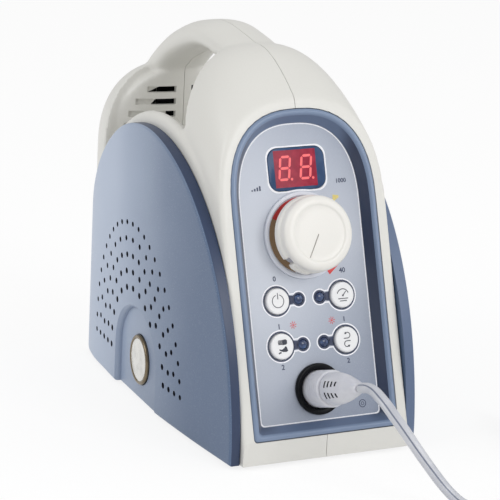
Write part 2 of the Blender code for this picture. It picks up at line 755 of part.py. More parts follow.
def pad_ring(y, edge):
    """One upright section of a side pad; edge is the share of the chamfer at this section."""
    top = ellipse_height(y, PAD_CENTRE, PAD_LENGTH, PAD_HEIGHT)
    outer = pad_half_width(y) - PAD_CHAMFER * edge
    inner = body_half_width(y) + GAP
    rows = [(outer, top * share) for share in PAD_ROW_SHARES]
    rows.append((outer, top - PAD_CHAMFER_RUN))
    rows.append((outer - PAD_CHAMFER * (1 - edge), top))
    rows += [(inner, top), (inner, top * PAD_ROW_SHARES[1]), (inner, 0)]
    return [(x, y, z) for x, z in rows]


def make_pads():
    """The coloured side pads with their scooped tongue and round badge."""
    first = pi * 0.02
    last = pi - (1 - (PAD_END - PAD_CENTRE) / PAD_LENGTH)
    stations = [PAD_CENTRE - PAD_LENGTH * cos(first)]
    for k in range(1, PAD_STEPS):
        share = k / PAD_STEPS
        y = PAD_CENTRE - PAD_LENGTH * cos(first + (last - first) * share)
        if stations[-1] + PAD_CHAMFER_RUN < y < PAD_END - PAD_CHAMFER_RUN:
            stations.append(y)
    stations.insert(1, stations[0] + PAD_CHAMFER_RUN)
    stations += [PAD_END - PAD_CHAMFER_RUN, PAD_END]
    edges = [1.0] + [0.0] * (len(stations) - 2) + [1.0]
    pad = loft("side_pad_right", [pad_ring(y, e) for y, e in zip(stations, edges)], pad_blue)

    outline = arch(TONGUE_HALF_WIDTH, -OVERRUN, TONGUE_SPRING, TONGUE_RISE, 2, 8)
    faces = (TONGUE_FRONT_FACE, TONGUE_REAR_FACE)
    rings = []
    for outward in (False, True):
        ring = []
        for v, z in outline:
            share = (v + TONGUE_HALF_WIDTH) / (2 * TONGUE_HALF_WIDTH)
            depth = faces[0] + (faces[1] - faces[0]) * share
            ring.append((PAD_HALF_WIDTH + OVERRUN if outward else depth, TONGUE_CENTRE + v, z))
        rings.append(ring)
    tongue = loft("tongue_scoop", rings, cutter=True)
    seat = Matrix.Translation((BADGE_FACE, BADGE_CENTRE, BADGE_HEIGHT)) @ Matrix.Rotation(BADGE_TURN, 4, "Z")
    seat_cut = rod("badge_seat", BADGE_RADIUS + GAP, -BADGE_RECESS, OVERRUN, axis="X", cutter=True)
    seat_cut.matrix_local = seat
    cut(pad, tongue, seat_cut)

    low = GAP - BADGE_RECESS
    profile = (
        (0, low), (BADGE_RADIUS, low), (BADGE_RADIUS, BADGE_STAND * 0.5),
        (BADGE_RADIUS - BADGE_RECESS, BADGE_STAND), (BADGE_RADIUS * 0.86, BADGE_STAND * 0.9),
        (BADGE_RADIUS * 0.8, BADGE_STAND * 0.75), (BADGE_RADIUS * 0.5, BADGE_STAND * 0.95),
        (0, BADGE_STAND),
    )
    badge = turned("badge_right", profile, steel, axis="X")
    badge.matrix_local = seat

    for item in (pad, badge):
        mesh = evaluated_mesh(item)
        mesh.transform(item.matrix_local)
        twin = mesh.copy()
        twin.transform(Matrix.Scale(-1, 4, (1, 0, 0)))
        twin.flip_normals()
        add_object(item.name.replace("right", "left"), twin)


def make_panel():
    """The coloured rim, the panel plate with its holes, and the display."""
    rings = [[(u, v, out) for u, v in rim_outline(inset)] for inset, out in RIM_SECTION]
    loft("panel_rim", rings, rim_blue, closed=True, parent=panel_frame)

    plate_back = PLATE_FACE - PLATE_THICKNESS
    plate = prism(
        "panel_plate", rim_outline(PLATE_INSET), plate_back, PLATE_FACE, plate_blue, parent=panel_frame
    )
    post_end = BOARD_FACE + GAP
    for across, up in POST_PLACE_SHARES:
        place = (BOARD_HALF_WIDTH * across, BOARD_LOW + (BOARD_HIGH - BOARD_LOW) * up, 0)
        join(plate, rod("plate_post", POST_RADIUS, post_end, PLATE_FACE - PLATE_THICKNESS / 2,
                        steps=SMALL_STEPS, place=place, parent=panel_frame, cutter=True))

    def through(name, radius, u, v, steps=ROUND_STEPS):
        return rod(name, radius, plate_back - OVERRUN, PLATE_FACE + OVERRUN, steps=steps,
                   place=(u, v, 0), parent=panel_frame, cutter=True)

    holes = [through("socket_hole", SOCKET_BODY_RADIUS + GAP, 0, SOCKET_HEIGHT),
             through("bush_hole", POT_BUSH_RADIUS + GAP, 0, KNOB_HEIGHT, SMALL_STEPS)]
    for v in (BUTTON_UPPER, BUTTON_LOWER):
        for side in (-1, 1):
            holes.append(through("button_hole", BUTTON_RADIUS + SLIDE_GAP, side * BUTTON_SIDE, v))
            holes.append(through("lamp_hole", LAMP_RADIUS + GAP, side * LAMP_SIDE, v, SMALL_STEPS))
    cut(plate, *holes)

    def window_outline(grow):
        half = WINDOW_HALF_WIDTH + grow
        low, high = WINDOW_LOW - grow, WINDOW_HIGH + grow
        corner = WINDOW_CORNER
        dial = DIAL_RADIUS + WINDOW_DIAL_CLEARANCE - grow
        points = []
        for side_u, side_v, start in ((1, 1, 0), (-1, 1, 90), (-1, -1, 180), (1, -1, 270)):
            centre = (side_u * (half - corner), (high if side_v > 0 else low) - side_v * corner)
            for turn in (0, 30, 60, 90):
                angle = radians(start + turn)
                points.append((centre[0] + corner * cos(angle), centre[1] + corner * sin(angle)))
            if side_u < 0 and side_v < 0:
                for step in (-2, -1, 0, 1, 2):
                    u = step * (half - corner) / 3
                    points.append((u, max(low, KNOB_HEIGHT + sqrt(dial * dial - u * u))))
        return points

    window_face = PLATE_FACE + WINDOW_PROUD
    cut(plate, prism("window_hole", window_outline(GAP), plate_back - OVERRUN, PLATE_FACE + OVERRUN,
                     parent=panel_frame, cutter=True))
    prism("display_window", window_outline(0), window_face - WINDOW_THICKNESS, window_face, lens_red,
          parent=panel_frame)
    box("display_module", (-DISPLAY_HALF_WIDTH, DISPLAY_LOW, BOARD_FACE + GAP),
        (DISPLAY_HALF_WIDTH, DISPLAY_HIGH, window_face - WINDOW_THICKNESS - GAP), lens_red,
        parent=panel_frame)

    board = box("panel_board", (-BOARD_HALF_WIDTH, BOARD_LOW, BOARD_FACE - BOARD_THICKNESS),
                (BOARD_HALF_WIDTH, BOARD_HIGH, BOARD_FACE), board_green, parent=panel_frame)
    cut(board, rod("pot_window", POT_RADIUS + GAP, BOARD_FACE - OVERRUN, BOARD_FACE + OVERRUN,
                   place=(0, KNOB_HEIGHT, 0), parent=panel_frame, cutter=True))


def make_knob():
    """Dial, speed knob with its shaft, and the potentiometer behind the plate."""
    face = PLATE_FACE + GAP
    bore = POT_BUSH_RADIUS + GAP
    turned("speed_dial", (
        (bore, face), (DIAL_RADIUS, face), (DIAL_RADIUS, face + DIAL_RAISE - DIAL_FLOOR),
        (DIAL_RADIUS - DIAL_FLOOR, face + DIAL_RAISE), (DIAL_RADIUS - DIAL_RIM, face + DIAL_RAISE),
        (DIAL_RADIUS - DIAL_RIM - DIAL_FLOOR, face + DIAL_FLOOR), (bore, face + DIAL_FLOOR), (bore, face),
    ), white_plastic, parent=panel_frame, place=(0, KNOB_HEIGHT, 0))

    low = KNOB_STAND
    high = KNOB_STAND + KNOB_LENGTH
    face_low = high - KNOB_FACE_DEPTH
    inner = KNOB_RADIUS - KNOB_WALL
    shaft_bore = SHAFT_RADIUS + GAP
    hub_low = PLATE_FACE + DIAL_RAISE + WALL - PLATE_FACE
    profile = (
        (0, high - 2 * KNOB_WALL), (shaft_bore, high - 2 * KNOB_WALL), (shaft_bore, hub_low),
        (KNOB_HUB_RADIUS, hub_low), (KNOB_HUB_RADIUS, high - 1.5 * KNOB_WALL),
        (inner, high - 1.5 * KNOB_WALL), (inner, low), (KNOB_RADIUS, low),
        (KNOB_RADIUS, low + KNOB_NOTCH_LENGTH / 2), (KNOB_WAIST_RADIUS, low + KNOB_NOTCH_LENGTH),
        (KNOB_FRONT_RADIUS, high - 1.4 * KNOB_WALL), (KNOB_FRONT_RADIUS * 0.97, high - 0.5 * KNOB_WALL),
        (KNOB_FRONT_RADIUS * 0.9, high), (KNOB_FACE_RADIUS * 1.06, high),
        (KNOB_FACE_RADIUS, face_low), (0, face_low),
    )
    knob = turned("speed_knob", profile, white_plastic, parent=panel_frame,
                  place=(0, KNOB_HEIGHT, PLATE_FACE))
    for k in range(KNOB_NOTCHES):
        notch = box(
            "knob_notch", (KNOB_RADIUS - KNOB_NOTCH_DEPTH, -KNOB_NOTCH_WIDTH / 2, low - OVERRUN),
            (KNOB_RADIUS + OVERRUN, KNOB_NOTCH_WIDTH / 2, low + KNOB_NOTCH_LENGTH / 2),
            parent=panel_frame, place=(0, KNOB_HEIGHT, PLATE_FACE), cutter=True,
        )
        notch.rotation_euler = (0, 0, KNOB_FIRST_NOTCH + 2 * pi * k / KNOB_NOTCHES)
        cut(knob, notch)

    back = PLATE_FACE - PLATE_THICKNESS - GAP
    shaft_low = back - POT_DEPTH + WALL
    shaft_high = PLATE_FACE + high - 2 * KNOB_WALL - GAP
    rod("knob_shaft", SHAFT_RADIUS, shaft_low, shaft_high, steel, steps=SMALL_STEPS, parent=panel_frame,
        place=(0, KNOB_HEIGHT, 0))
    bush_end = PLATE_FACE + DIAL_RAISE
    sleeve = SHAFT_RADIUS + GAP
    turned("speed_potentiometer", (
        (0, back - POT_DEPTH), (POT_RADIUS, back - POT_DEPTH), (POT_RADIUS, back), (POT_BUSH_RADIUS, back),
        (POT_BUSH_RADIUS, bush_end), (sleeve, bush_end), (sleeve, shaft_low - GAP), (0, shaft_low - GAP),
    ), black_plastic, parent=panel_frame, place=(0, KNOB_HEIGHT, 0))


def make_buttons():
    """Four push buttons, their switches and their indicator lamps."""
    names = {
        (-1, BUTTON_UPPER): "power", (1, BUTTON_UPPER): "cruise",
        (-1, BUTTON_LOWER): "control", (1, BUTTON_LOWER): "direction",
    }
    plate_back = PLATE_FACE - PLATE_THICKNESS
    crown = PLATE_FACE + BUTTON_PROUD
    flange_high = plate_back - GAP
    flange_low = flange_high - BUTTON_FLANGE_THICKNESS
    switch_high = BOARD_FACE + SWITCH_SIDE / 2
    stem_low = switch_high + BUTTON_TRAVEL + GAP
    for (side, v), word in names.items():
        place = (side * BUTTON_SIDE, v, 0)
        turned(f"button_{word}", (
            (0, stem_low), (BUTTON_STEM_RADIUS, stem_low), (BUTTON_STEM_RADIUS, flange_low),
            (BUTTON_FLANGE_RADIUS, flange_low), (BUTTON_FLANGE_RADIUS, flange_high),
            (BUTTON_RADIUS, flange_high), (BUTTON_RADIUS, crown - BUTTON_EDGE),
            (BUTTON_RADIUS - BUTTON_EDGE, crown), (0, crown),
        ), white_plastic, parent=panel_frame, place=place)
        half = SWITCH_SIDE / 2
        box(f"switch_{word}", (-half, -half, BOARD_FACE + GAP), (half, half, switch_high), black_plastic,
            parent=panel_frame, place=place)
        dome = PLATE_FACE + LAMP_PROUD
        turned(f"lamp_{word}", (
            (0, BOARD_FACE + GAP), (LAMP_RADIUS, BOARD_FACE + GAP), (LAMP_RADIUS, dome - LAMP_RADIUS / 2),
            (LAMP_RADIUS * 0.8, dome - LAMP_RADIUS * 0.2), (LAMP_RADIUS * 0.4, dome - LAMP_RADIUS * 0.04),
            (0, dome),
        ), lamp_blue, steps=SMALL_STEPS, parent=panel_frame, place=(side * LAMP_SIDE, v, 0))


def make_socket_and_plug():
    """The motor socket in the panel, and the lead's plug with its slotted relief."""
    place = (0, SOCKET_HEIGHT, 0)
    face = PLATE_FACE + GAP
    ring = face + SOCKET_RING_PROUD
    end = PLATE_FACE - SOCKET_DEPTH
    turned("motor_socket", (
        (0, end), (SOCKET_BODY_RADIUS, end), (SOCKET_BODY_RADIUS, face), (SOCKET_RING_RADIUS, face),
        (SOCKET_RING_RADIUS, ring - GAP), (SOCKET_RING_RADIUS - GAP, ring), (SOCKET_BORE_RADIUS, ring),
        (SOCKET_BORE_RADIUS, end + WALL), (0, end + WALL),
    ), black_plastic, parent=panel_frame, place=place)

    low = face - PLUG_SEAT_DEPTH
    high = low + PLUG_SEAT_DEPTH + PLUG_LENGTH
    profile = [(0, low), (PLUG_RADIUS, low), (PLUG_RADIUS, ring + PLUG_RIDGE_PITCH)]
    for k in range(PLUG_RIDGES):
        start = ring + PLUG_RIDGE_PITCH * (k + 1)
        profile += [
            (PLUG_RADIUS - PLUG_RIDGE_DEPTH, start + PLUG_RIDGE_PITCH * 0.25),
            (PLUG_RADIUS - PLUG_RIDGE_DEPTH, start + PLUG_RIDGE_PITCH * 0.5),
            (PLUG_RADIUS, start + PLUG_RIDGE_PITCH * 0.75),
        ]
    profile += [(PLUG_RADIUS, high - PLUG_RIDGE_PITCH / 2), (RELIEF_ROOT_RADIUS, high), (0, high)]
    turned("motor_plug", profile, cord_grey, parent=panel_frame, place=place)

    start = high + GAP
    rings = []
    for along, shrink in RELIEF_SHARES:
        out = start + (RELIEF_END - start) * along
        half_u = RELIEF_ROOT_RADIUS + (RELIEF_TIP_HALF_WIDTH - RELIEF_ROOT_RADIUS) * shrink
        half_v = RELIEF_ROOT_RADIUS + (RELIEF_TIP_HALF_HEIGHT - RELIEF_ROOT_RADIUS) * shrink
        steps = range(SMALL_STEPS)
        rings.append([
            (half_u * cos(2 * pi * k / SMALL_STEPS), half_v * sin(2 * pi * k / SMALL_STEPS), out)
            for k in steps
        ])
    relief = loft("plug_relief", rings, cord_grey, parent=panel_frame, place=place)
    slots = []
    for row in (-1, 1):
        for k in range(RELIEF_SLOTS):
            out = RELIEF_SLOT_START + RELIEF_SLOT_PITCH * k
            reach = RELIEF_ROOT_RADIUS + OVERRUN
            ends = sorted((row * RELIEF_SLOT_WIDTH / 2, row * RELIEF_ROOT_RADIUS * 0.62))
            slots.append(((-reach, ends[0], out), (-RELIEF_ROOT_RADIUS * 0.45, ends[1],
                                                 out + RELIEF_SLOT_WIDTH)))
    cut(relief, boxes("relief_slots", slots, parent=panel_frame, place=place, cutter=True))


def along_curve(route, step):
    """Points at even steps on a smooth curve through the route's points."""
    points = [Vector(p) for p in route]
    fine = []
    for k in range(len(points) - 1):
        p0, p1, p2 = points[max(k - 1, 0)], points[k], points[k + 1]
        p3 = points[min(k + 2, len(points) - 1)]
        for j in range(12):
            t = j / 12
            fine.append(0.5 * (
                2 * p1 + (p2 - p0) * t + (2 * p0 - 5 * p1 + 4 * p2 - p3) * t**2
                + (3 * p1 - p0 - 3 * p2 + p3) * t**3
            ))
    fine.append(points[-1])
    lengths = [0.0]
    for a, b in zip(fine, fine[1:]):
        lengths.append(lengths[-1] + (b - a).length)
    count = max(2, round(lengths[-1] / step))
    even = []
    for k in range(count + 1):
        want = lengths[-1] * k / count
        j = max(i for i in range(len(lengths) - 1) if lengths[i] <= want + GAP * GAP)
        share = (want - lengths[j]) / max(lengths[j + 1] - lengths[j], GAP * GAP)
        even.append(fine[j].lerp(fine[j + 1], share))
    return even


def tube(name, points, diameter, material, resolution):
    """A round tube with closed ends along points, as a mesh."""
    curve = bpy.data.curves.new(name, "CURVE")
    curve.dimensions = "3D"
    curve.bevel_depth = diameter / 2
    curve.bevel_resolution = resolution
    curve.use_fill_caps = True
    spline = curve.splines.new("POLY")
    spline.points.add(len(points) - 1)
    for spot, point in zip(spline.points, points):
        spot.co = (*point, 1)
    item = bpy.data.objects.new(name, curve)
    parts.objects.link(item)
    item.parent = body_frame
    curve.materials.append(material)
    return item


def coil_points():
    """The coil's centreline: in on the lower layer, up a layer at the turn, and out on the upper."""
    floor = CORD_DIAMETER / 2 - FOOT_STAND
    middle = COIL_TURNS / 2
    inner = COIL_OUTER_RADIUS - COIL_PITCH * middle
    centre_x, centre_y = COIL_CENTRE
    count = round(COIL_TURNS * COIL_LOOP_POINTS)
    points = []
    for k in range(count + 1):
        turns = COIL_TURNS * k / count
        radius = inner + COIL_PITCH * abs(turns - middle)
        height = floor + COIL_PITCH * smoothstep((turns - middle + 0.25) / 0.5)
        angle = pi + 2 * pi * turns
        points.append(Vector((centre_x + radius * cos(angle), centre_y + radius * sin(angle), height)))
    first = points[0] + Vector((0, CORD_DIAMETER, 0))
    last = points[-1] + Vector((0, CORD_DIAMETER, 0))
    return [first] + points + [last]


def least_self_gap(points, diameter):
    """Least gap between turns of a tube, measured between points a millimetre apart."""
    fine = along_curve(points, diameter / 6)
    skip = round(pi * diameter / (diameter / 6))
    least = min(
        (fine[i] - fine[j]).length
        for i in range(0, len(fine), 2) for j in range(i + skip, len(fine), 2)
    )
    return least - diameter


def make_lead():
    """The lead in its free stretches and its stored coil."""
    step = CORD_DIAMETER * CORD_STEP_DIAMETERS
    straight = Vector((0, CORD_DIAMETER, 0))
    route = along_curve(CORD_ROUTE, step)
    tube("motor_cord", route + [route[-1] - straight], CORD_DIAMETER, cord_grey, 2)
    points = coil_points()
    print(f"least gap of the coil to itself: {least_self_gap(points, CORD_DIAMETER) * 1000:.2f} mm")
    tube("cord_coil", points, CORD_DIAMETER, cord_grey, 1)
    route = along_curve(HAND_CORD_ROUTE, step)
    route = [route[0] - straight] + route + [route[-1] + straight]
    tube("handpiece_cord", route, CORD_DIAMETER, cord_grey, 2)


def make_handpiece():
    """The handpiece: boot, motor, lock ring, nose and spindle, in line along +Y."""
    place = (HAND_SIDE, HAND_TAIL, HAND_RADIUS + RING_FLUTE_DEPTH / 2 - FOOT_STAND)
    boot_end = HAND_BOOT_LENGTH
    turned("handpiece_boot", (
        (0, 0), (HAND_BOOT_TIP_RADIUS, 0), (HAND_BOOT_TIP_RADIUS * 1.15, boot_end * 0.35),
        (HAND_BOOT_ROOT_RADIUS * 0.8, boot_end * 0.75), (HAND_BOOT_ROOT_RADIUS, boot_end), (0, boot_end),
    ), cord_grey, axis="Y", place=place)

    motor_low = boot_end + GAP
    motor_high = motor_low + HAND_MOTOR_LENGTH
    core_high = motor_high + HAND_RING_LENGTH + 2 * GAP
    turned("handpiece_motor", (
        (0, motor_low), (HAND_BOOT_ROOT_RADIUS + HAND_EDGE, motor_low),
        (HAND_RADIUS - HAND_EDGE, motor_low + 2 * HAND_EDGE), (HAND_RADIUS, motor_low + 4 * HAND_EDGE),
        (HAND_RADIUS, motor_high - HAND_EDGE), (HAND_RADIUS - HAND_EDGE, motor_high),
        (HAND_CORE_RADIUS, motor_high), (HAND_CORE_RADIUS, core_high),
        (HAND_BORE_RADIUS + GAP, core_high), (HAND_BORE_RADIUS + GAP, motor_high), (0, motor_high),
    ), steel, axis="Y", place=place)

    ring_low = motor_high + GAP
    ring_high = ring_low + HAND_RING_LENGTH
    rings = []
    steps = 4 * RING_FLUTES
    for radius_cut, out in (
        (HAND_EDGE, ring_low), (0, ring_low + HAND_EDGE), (0, ring_high - HAND_EDGE), (HAND_EDGE, ring_high),
    ):
        ring = []
        for k in range(steps):
            angle = 2 * pi * k / steps
            flute = RING_FLUTE_DEPTH * (1 if k % 4 in (0, 1) else 0)
            radius = HAND_RADIUS - radius_cut - flute
            ring.append((radius * cos(angle), out, radius * sin(angle)))
        rings.append(ring)
    lock = loft("lock_ring", rings, steel, place=place)
    cut(lock, rod("lock_bore", HAND_CORE_RADIUS + GAP, ring_low - OVERRUN, ring_high + OVERRUN,
                  axis="Y", place=place, cutter=True))

    nose_low = core_high + GAP
    nose_high = nose_low + HAND_NOSE_LENGTH
    bore = HAND_BORE_RADIUS
    turned("handpiece_nose", (
        (bore, nose_low), (HAND_RADIUS - HAND_EDGE, nose_low),
        (HAND_RADIUS - HAND_EDGE, nose_low + HAND_NOSE_LENGTH * 0.1),
        (HAND_NECK_RADIUS * 1.25, nose_low + HAND_NOSE_LENGTH * 0.3),
        (HAND_NECK_RADIUS, nose_low + HAND_NOSE_LENGTH * 0.55),
        (HAND_NECK_RADIUS * 0.92, nose_low + HAND_NOSE_LENGTH * 0.8),
        (HAND_TIP_RADIUS, nose_high), (bore, nose_high), (bore, nose_low),
    ), steel, axis="Y", place=place)
    spindle_low = motor_high + GAP
    spindle_high = nose_high + SPINDLE_PROUD
    turned("spindle", (
        (0, spindle_low), (SPINDLE_RADIUS, spindle_low), (SPINDLE_RADIUS, spindle_high - HAND_EDGE),
        (SPINDLE_RADIUS - HAND_EDGE / 2, spindle_high), (SPINDLE_BORE_RADIUS, spindle_high),
        (SPINDLE_BORE_RADIUS, spindle_high - 2 * SPINDLE_PROUD), (0, spindle_high - 2 * SPINDLE_PROUD),
    ), steel, steps=SMALL_STEPS, axis="Y", place=place)


def make_base():
    """The base plate with its standoffs, the rubber feet and the screws that hold them."""
    low = BASE_RAISE
    high = BASE_RAISE + BASE_THICKNESS
    clear = WALL + 2 * GAP
    stations = [BASE_FRONT] + [BODY_DEPTH * share for share in BASE_STATION_SHARES]
    stations.append(BODY_DEPTH - clear)
    right = [(body_half_width(y) - clear, y) for y in stations]
    outline = right + [(-x, y) for x, y in reversed(right)]
    base = prism("base_plate", outline, low, high, black_plastic)
    spots = [(side * POST_SIDE, y) for side in (-1, 1) for y in (POST_FRONT, POST_BACK)]
    names = ("left_front", "left_rear", "right_front", "right_rear")
    for (x, y), word in zip(spots, names):
        cut(base, rod("base_hole", FOOT_BORE_RADIUS, low - OVERRUN, high + OVERRUN, steps=SMALL_STEPS,
                      place=(x, y, 0), cutter=True))
        head_high = SCREW_HEAD_THICKNESS + GAP - FOOT_STAND
        turned(f"foot_{word}", (
            (FOOT_BORE_RADIUS, head_high + GAP), (SCREW_HEAD_RADIUS + GAP, head_high + GAP),
            (SCREW_HEAD_RADIUS + GAP, -FOOT_STAND), (FOOT_RADIUS - GAP, -FOOT_STAND),
            (FOOT_RADIUS, GAP - FOOT_STAND), (FOOT_RADIUS, low - GAP), (FOOT_BORE_RADIUS, low - GAP),
            (FOOT_BORE_RADIUS, head_high + GAP),
        ), black_plastic, steps=SMALL_STEPS, place=(x, y, 0))
        turned(f"screw_{word}", (
            (0, GAP - FOOT_STAND), (SCREW_HEAD_RADIUS, GAP - FOOT_STAND), (SCREW_HEAD_RADIUS, head_high),
            (SCREW_RADIUS, head_high), (SCREW_RADIUS, SCREW_LENGTH), (0, SCREW_LENGTH),
        ), steel, steps=SMALL_STEPS, place=(x, y, 0))
    board_x = MAIN_BOARD_SIZE[0] / 2 - MAIN_BOARD_INSET
    board_y = MAIN_BOARD_SIZE[1] / 2 - MAIN_BOARD_INSET
    for side in (-1, 1):
        for end in (-1, 1):
            join(base, rod("standoff", STANDOFF_RADIUS, high - BASE_THICKNESS / 2, high + STANDOFF_HEIGHT,
                           steps=SMALL_STEPS, place=(side * board_x, MAIN_BOARD_PLACE + end * board_y, 0),
                           cutter=True))


def make_insides():
    """Transformer, main board and heat sink, standing on the base plate."""
    floor = BASE_RAISE + BASE_THICKNESS
    width, depth, height = TRANSFORMER_SIZE
    core_low = floor + GAP
    share = TRANSFORMER_COIL_SHARE
    core = box("transformer", (-width / 2, TRANSFORMER_PLACE - depth * share / 2, core_low),
               (width / 2, TRANSFORMER_PLACE + depth * share / 2, core_low + height), copper)
    join(core, box("transformer_winding",
                   (-width * share / 2, TRANSFORMER_PLACE - depth / 2, core_low + height * (1 - share) / 2),
                   (width * share / 2, TRANSFORMER_PLACE + depth / 2, core_low + height * (1 + share) / 2),
                   cutter=True))
    board_low = floor + STANDOFF_HEIGHT + GAP
    width, depth, thickness = MAIN_BOARD_SIZE
    box("main_board", (-width / 2, MAIN_BOARD_PLACE - depth / 2, board_low),
        (width / 2, MAIN_BOARD_PLACE + depth / 2, board_low + thickness), board_green)
    width, depth, height = HEAT_SINK_SIZE
    sink_low = board_low + thickness + GAP
    sink = box("heat_sink", (-width / 2, MAIN_BOARD_PLACE - depth / 2, sink_low),
               (width / 2, MAIN_BOARD_PLACE + depth / 2, sink_low + height), steel)
    pitch = width / (HEAT_SINK_FINS - HEAT_SINK_FIN_SHARE)
    gaps = []
    for k in range(HEAT_SINK_FINS - 1):
        left = -width / 2 + pitch * (k + HEAT_SINK_FIN_SHARE)
        right = left + pitch * (1 - HEAT_SINK_FIN_SHARE)
        gaps.append(((left, MAIN_BOARD_PLACE - depth, sink_low + height * HEAT_SINK_BASE_SHARE),
                     (right, MAIN_BOARD_PLACE + depth, sink_low + 2 * height)))
    cut(sink, boxes("fin_gaps", gaps, cutter=True))


def make_rear():
    """The rear plate with the mains inlet, rocker switch, fuse and foot control jack."""
    plate_high = BODY_DEPTH - WALL - GAP
    plate_low = plate_high - REAR_PLATE_THICKNESS
    half = REAR_PLATE_HALF_WIDTH
    plate = box("rear_plate", (-half, plate_low, REAR_PLATE_LOW), (half, plate_high, REAR_PLATE_HIGH), steel)
    face = plate_high + GAP

    def rear_hole(name, x, z, half_x, half_z):
        return box(name, (x - half_x, plate_low - OVERRUN, z - half_z),
                   (x + half_x, plate_high + OVERRUN, z + half_z), cutter=True)

    lip = WALL
    body_x, body_z = INLET_WIDTH / 2 - lip, INLET_HEIGHT / 2 - lip
    inlet = box("mains_inlet", (-INLET_WIDTH / 2, face, INLET_CENTRE - INLET_HEIGHT / 2),
                (INLET_WIDTH / 2, BODY_DEPTH + INLET_LIP, INLET_CENTRE + INLET_HEIGHT / 2), black_plastic)
    join(inlet, box("inlet_body", (-body_x, BODY_DEPTH - INLET_DEPTH, INLET_CENTRE - body_z),
                    (body_x, face + GAP, INLET_CENTRE + body_z), cutter=True))
    wall = WALL * 0.8
    cut(inlet, box("inlet_mouth", (wall - body_x, BODY_DEPTH - INLET_DEPTH + WALL, INLET_CENTRE - body_z + wall),
                   (body_x - wall, BODY_DEPTH + INLET_LIP + OVERRUN, INLET_CENTRE + body_z - wall),
                   cutter=True))
    pins = []
    for k in (-1, 0, 1):
        x = k * PIN_SPACING
        z = INLET_CENTRE + (PIN_WIDTH if k == 0 else -PIN_WIDTH)
        pins.append(((x - PIN_WIDTH / 2, BODY_DEPTH - INLET_DEPTH + WALL / 2, z - PIN_WIDTH),
                     (x + PIN_WIDTH / 2, BODY_DEPTH - WALL, z + PIN_WIDTH)))
    join(inlet, boxes("inlet_pins", pins, cutter=True))

    x, z = ROCKER_SIDE, ROCKER_CENTRE
    half_x, half_z = ROCKER_WIDTH / 2, ROCKER_HEIGHT / 2
    frame = box("rocker_frame", (x - half_x, BODY_DEPTH - ROCKER_DEPTH, z - half_z),
                (x + half_x, BODY_DEPTH + GAP, z + half_z), black_plastic)
    cut(frame, box("rocker_well",
                   (x - half_x + ROCKER_WALL, BODY_DEPTH - ROCKER_DEPTH + ROCKER_WALL, z - half_z + ROCKER_WALL),
                   (x + half_x - ROCKER_WALL, BODY_DEPTH + OVERRUN, z + half_z - ROCKER_WALL), cutter=True))
    reach = half_z - ROCKER_WALL - 4 * GAP
    wide = half_x - ROCKER_WALL - SLIDE_GAP
    tilt = tan(radians(ROCKER_TILT))
    rocker_low = -ROCKER_DEPTH * 0.4
    outline = [(-reach, -reach * tilt / 2), (-reach, reach * tilt), (0, 0), (reach, reach * tilt / 3),
               (reach, -reach * tilt / 2), (reach * 0.3, rocker_low), (-reach * 0.3, rocker_low)]
    outline = [(b, a) for a, b in outline]
    prism("rocker", outline, -wide, wide, black_plastic, axis="X",
          place=(x, BODY_DEPTH - ROCKER_WALL / 2, z))

    fuse_low = BODY_DEPTH - FUSE_BODY_DEPTH
    cap_low = BODY_DEPTH + GAP
    turned("fuse_holder", (
        (0, fuse_low), (FUSE_RADIUS, fuse_low), (FUSE_RADIUS, face), (FUSE_RADIUS + lip / 2, face),
        (FUSE_RADIUS + lip / 2, BODY_DEPTH), (FUSE_RADIUS - lip / 2, BODY_DEPTH),
        (FUSE_RADIUS - lip / 2, BODY_DEPTH - FUSE_CAP_DEPTH), (0, BODY_DEPTH - FUSE_CAP_DEPTH),
    ), black_plastic, steps=SMALL_STEPS, axis="Y", place=(FUSE_SIDE, 0, z))
    plug_radius = FUSE_RADIUS - lip / 2 - GAP
    cap = turned("fuse_cap", (
        (0, -FUSE_CAP_DEPTH + GAP), (plug_radius, -FUSE_CAP_DEPTH + GAP), (plug_radius, GAP),
        (FUSE_RADIUS, GAP), (FUSE_RADIUS, INLET_LIP - GAP), (FUSE_RADIUS - 2 * GAP, INLET_LIP),
        (0, INLET_LIP),
    ), black_plastic, steps=SMALL_STEPS, axis="Y", place=(FUSE_SIDE, BODY_DEPTH, z))
    cut(cap, box("cap_slot", (-FUSE_RADIUS * 0.7, INLET_LIP / 2, -PIN_WIDTH / 3),
                 (FUSE_RADIUS * 0.7, INLET_LIP + OVERRUN, PIN_WIDTH / 3),
                 place=(FUSE_SIDE, BODY_DEPTH, z), cutter=True))

    turned("foot_control_jack", (
        (0, BODY_DEPTH - JACK_DEPTH), (JACK_RADIUS - lip / 2, BODY_DEPTH - JACK_DEPTH),
        (JACK_RADIUS - lip / 2, face), (JACK_RADIUS, face), (JACK_RADIUS, BODY_DEPTH + INLET_LIP / 2),
        (JACK_BORE_RADIUS, BODY_DEPTH + INLET_LIP / 2),
        (JACK_BORE_RADIUS, BODY_DEPTH - JACK_DEPTH + WALL), (0, BODY_DEPTH - JACK_DEPTH + WALL),
    ), black_plastic, steps=SMALL_STEPS, axis="Y", place=(0, 0, JACK_CENTRE))

    def round_hole(name, radius, x, z):
        return rod(name, radius, plate_low - OVERRUN, plate_high + OVERRUN, steps=SMALL_STEPS, axis="Y",
                   place=(x, 0, z), cutter=True)

    cut(plate,
        rear_hole("inlet_hole", 0, INLET_CENTRE, body_x + GAP, body_z + GAP),
        rear_hole("rocker_hole", x, z, half_x + GAP, half_z + GAP),
        round_hole("fuse_hole", FUSE_RADIUS + GAP, FUSE_SIDE, z),
        round_hole("jack_hole", JACK_RADIUS - lip / 2 + GAP, 0, JACK_CENTRE))


make_housing()
make_pads()
make_panel()
make_knob()
make_buttons()
make_socket_and_plug()
make_lead()
make_handpiece()
make_base()
make_insides()
make_rear()
bpy.context.view_layer.update()
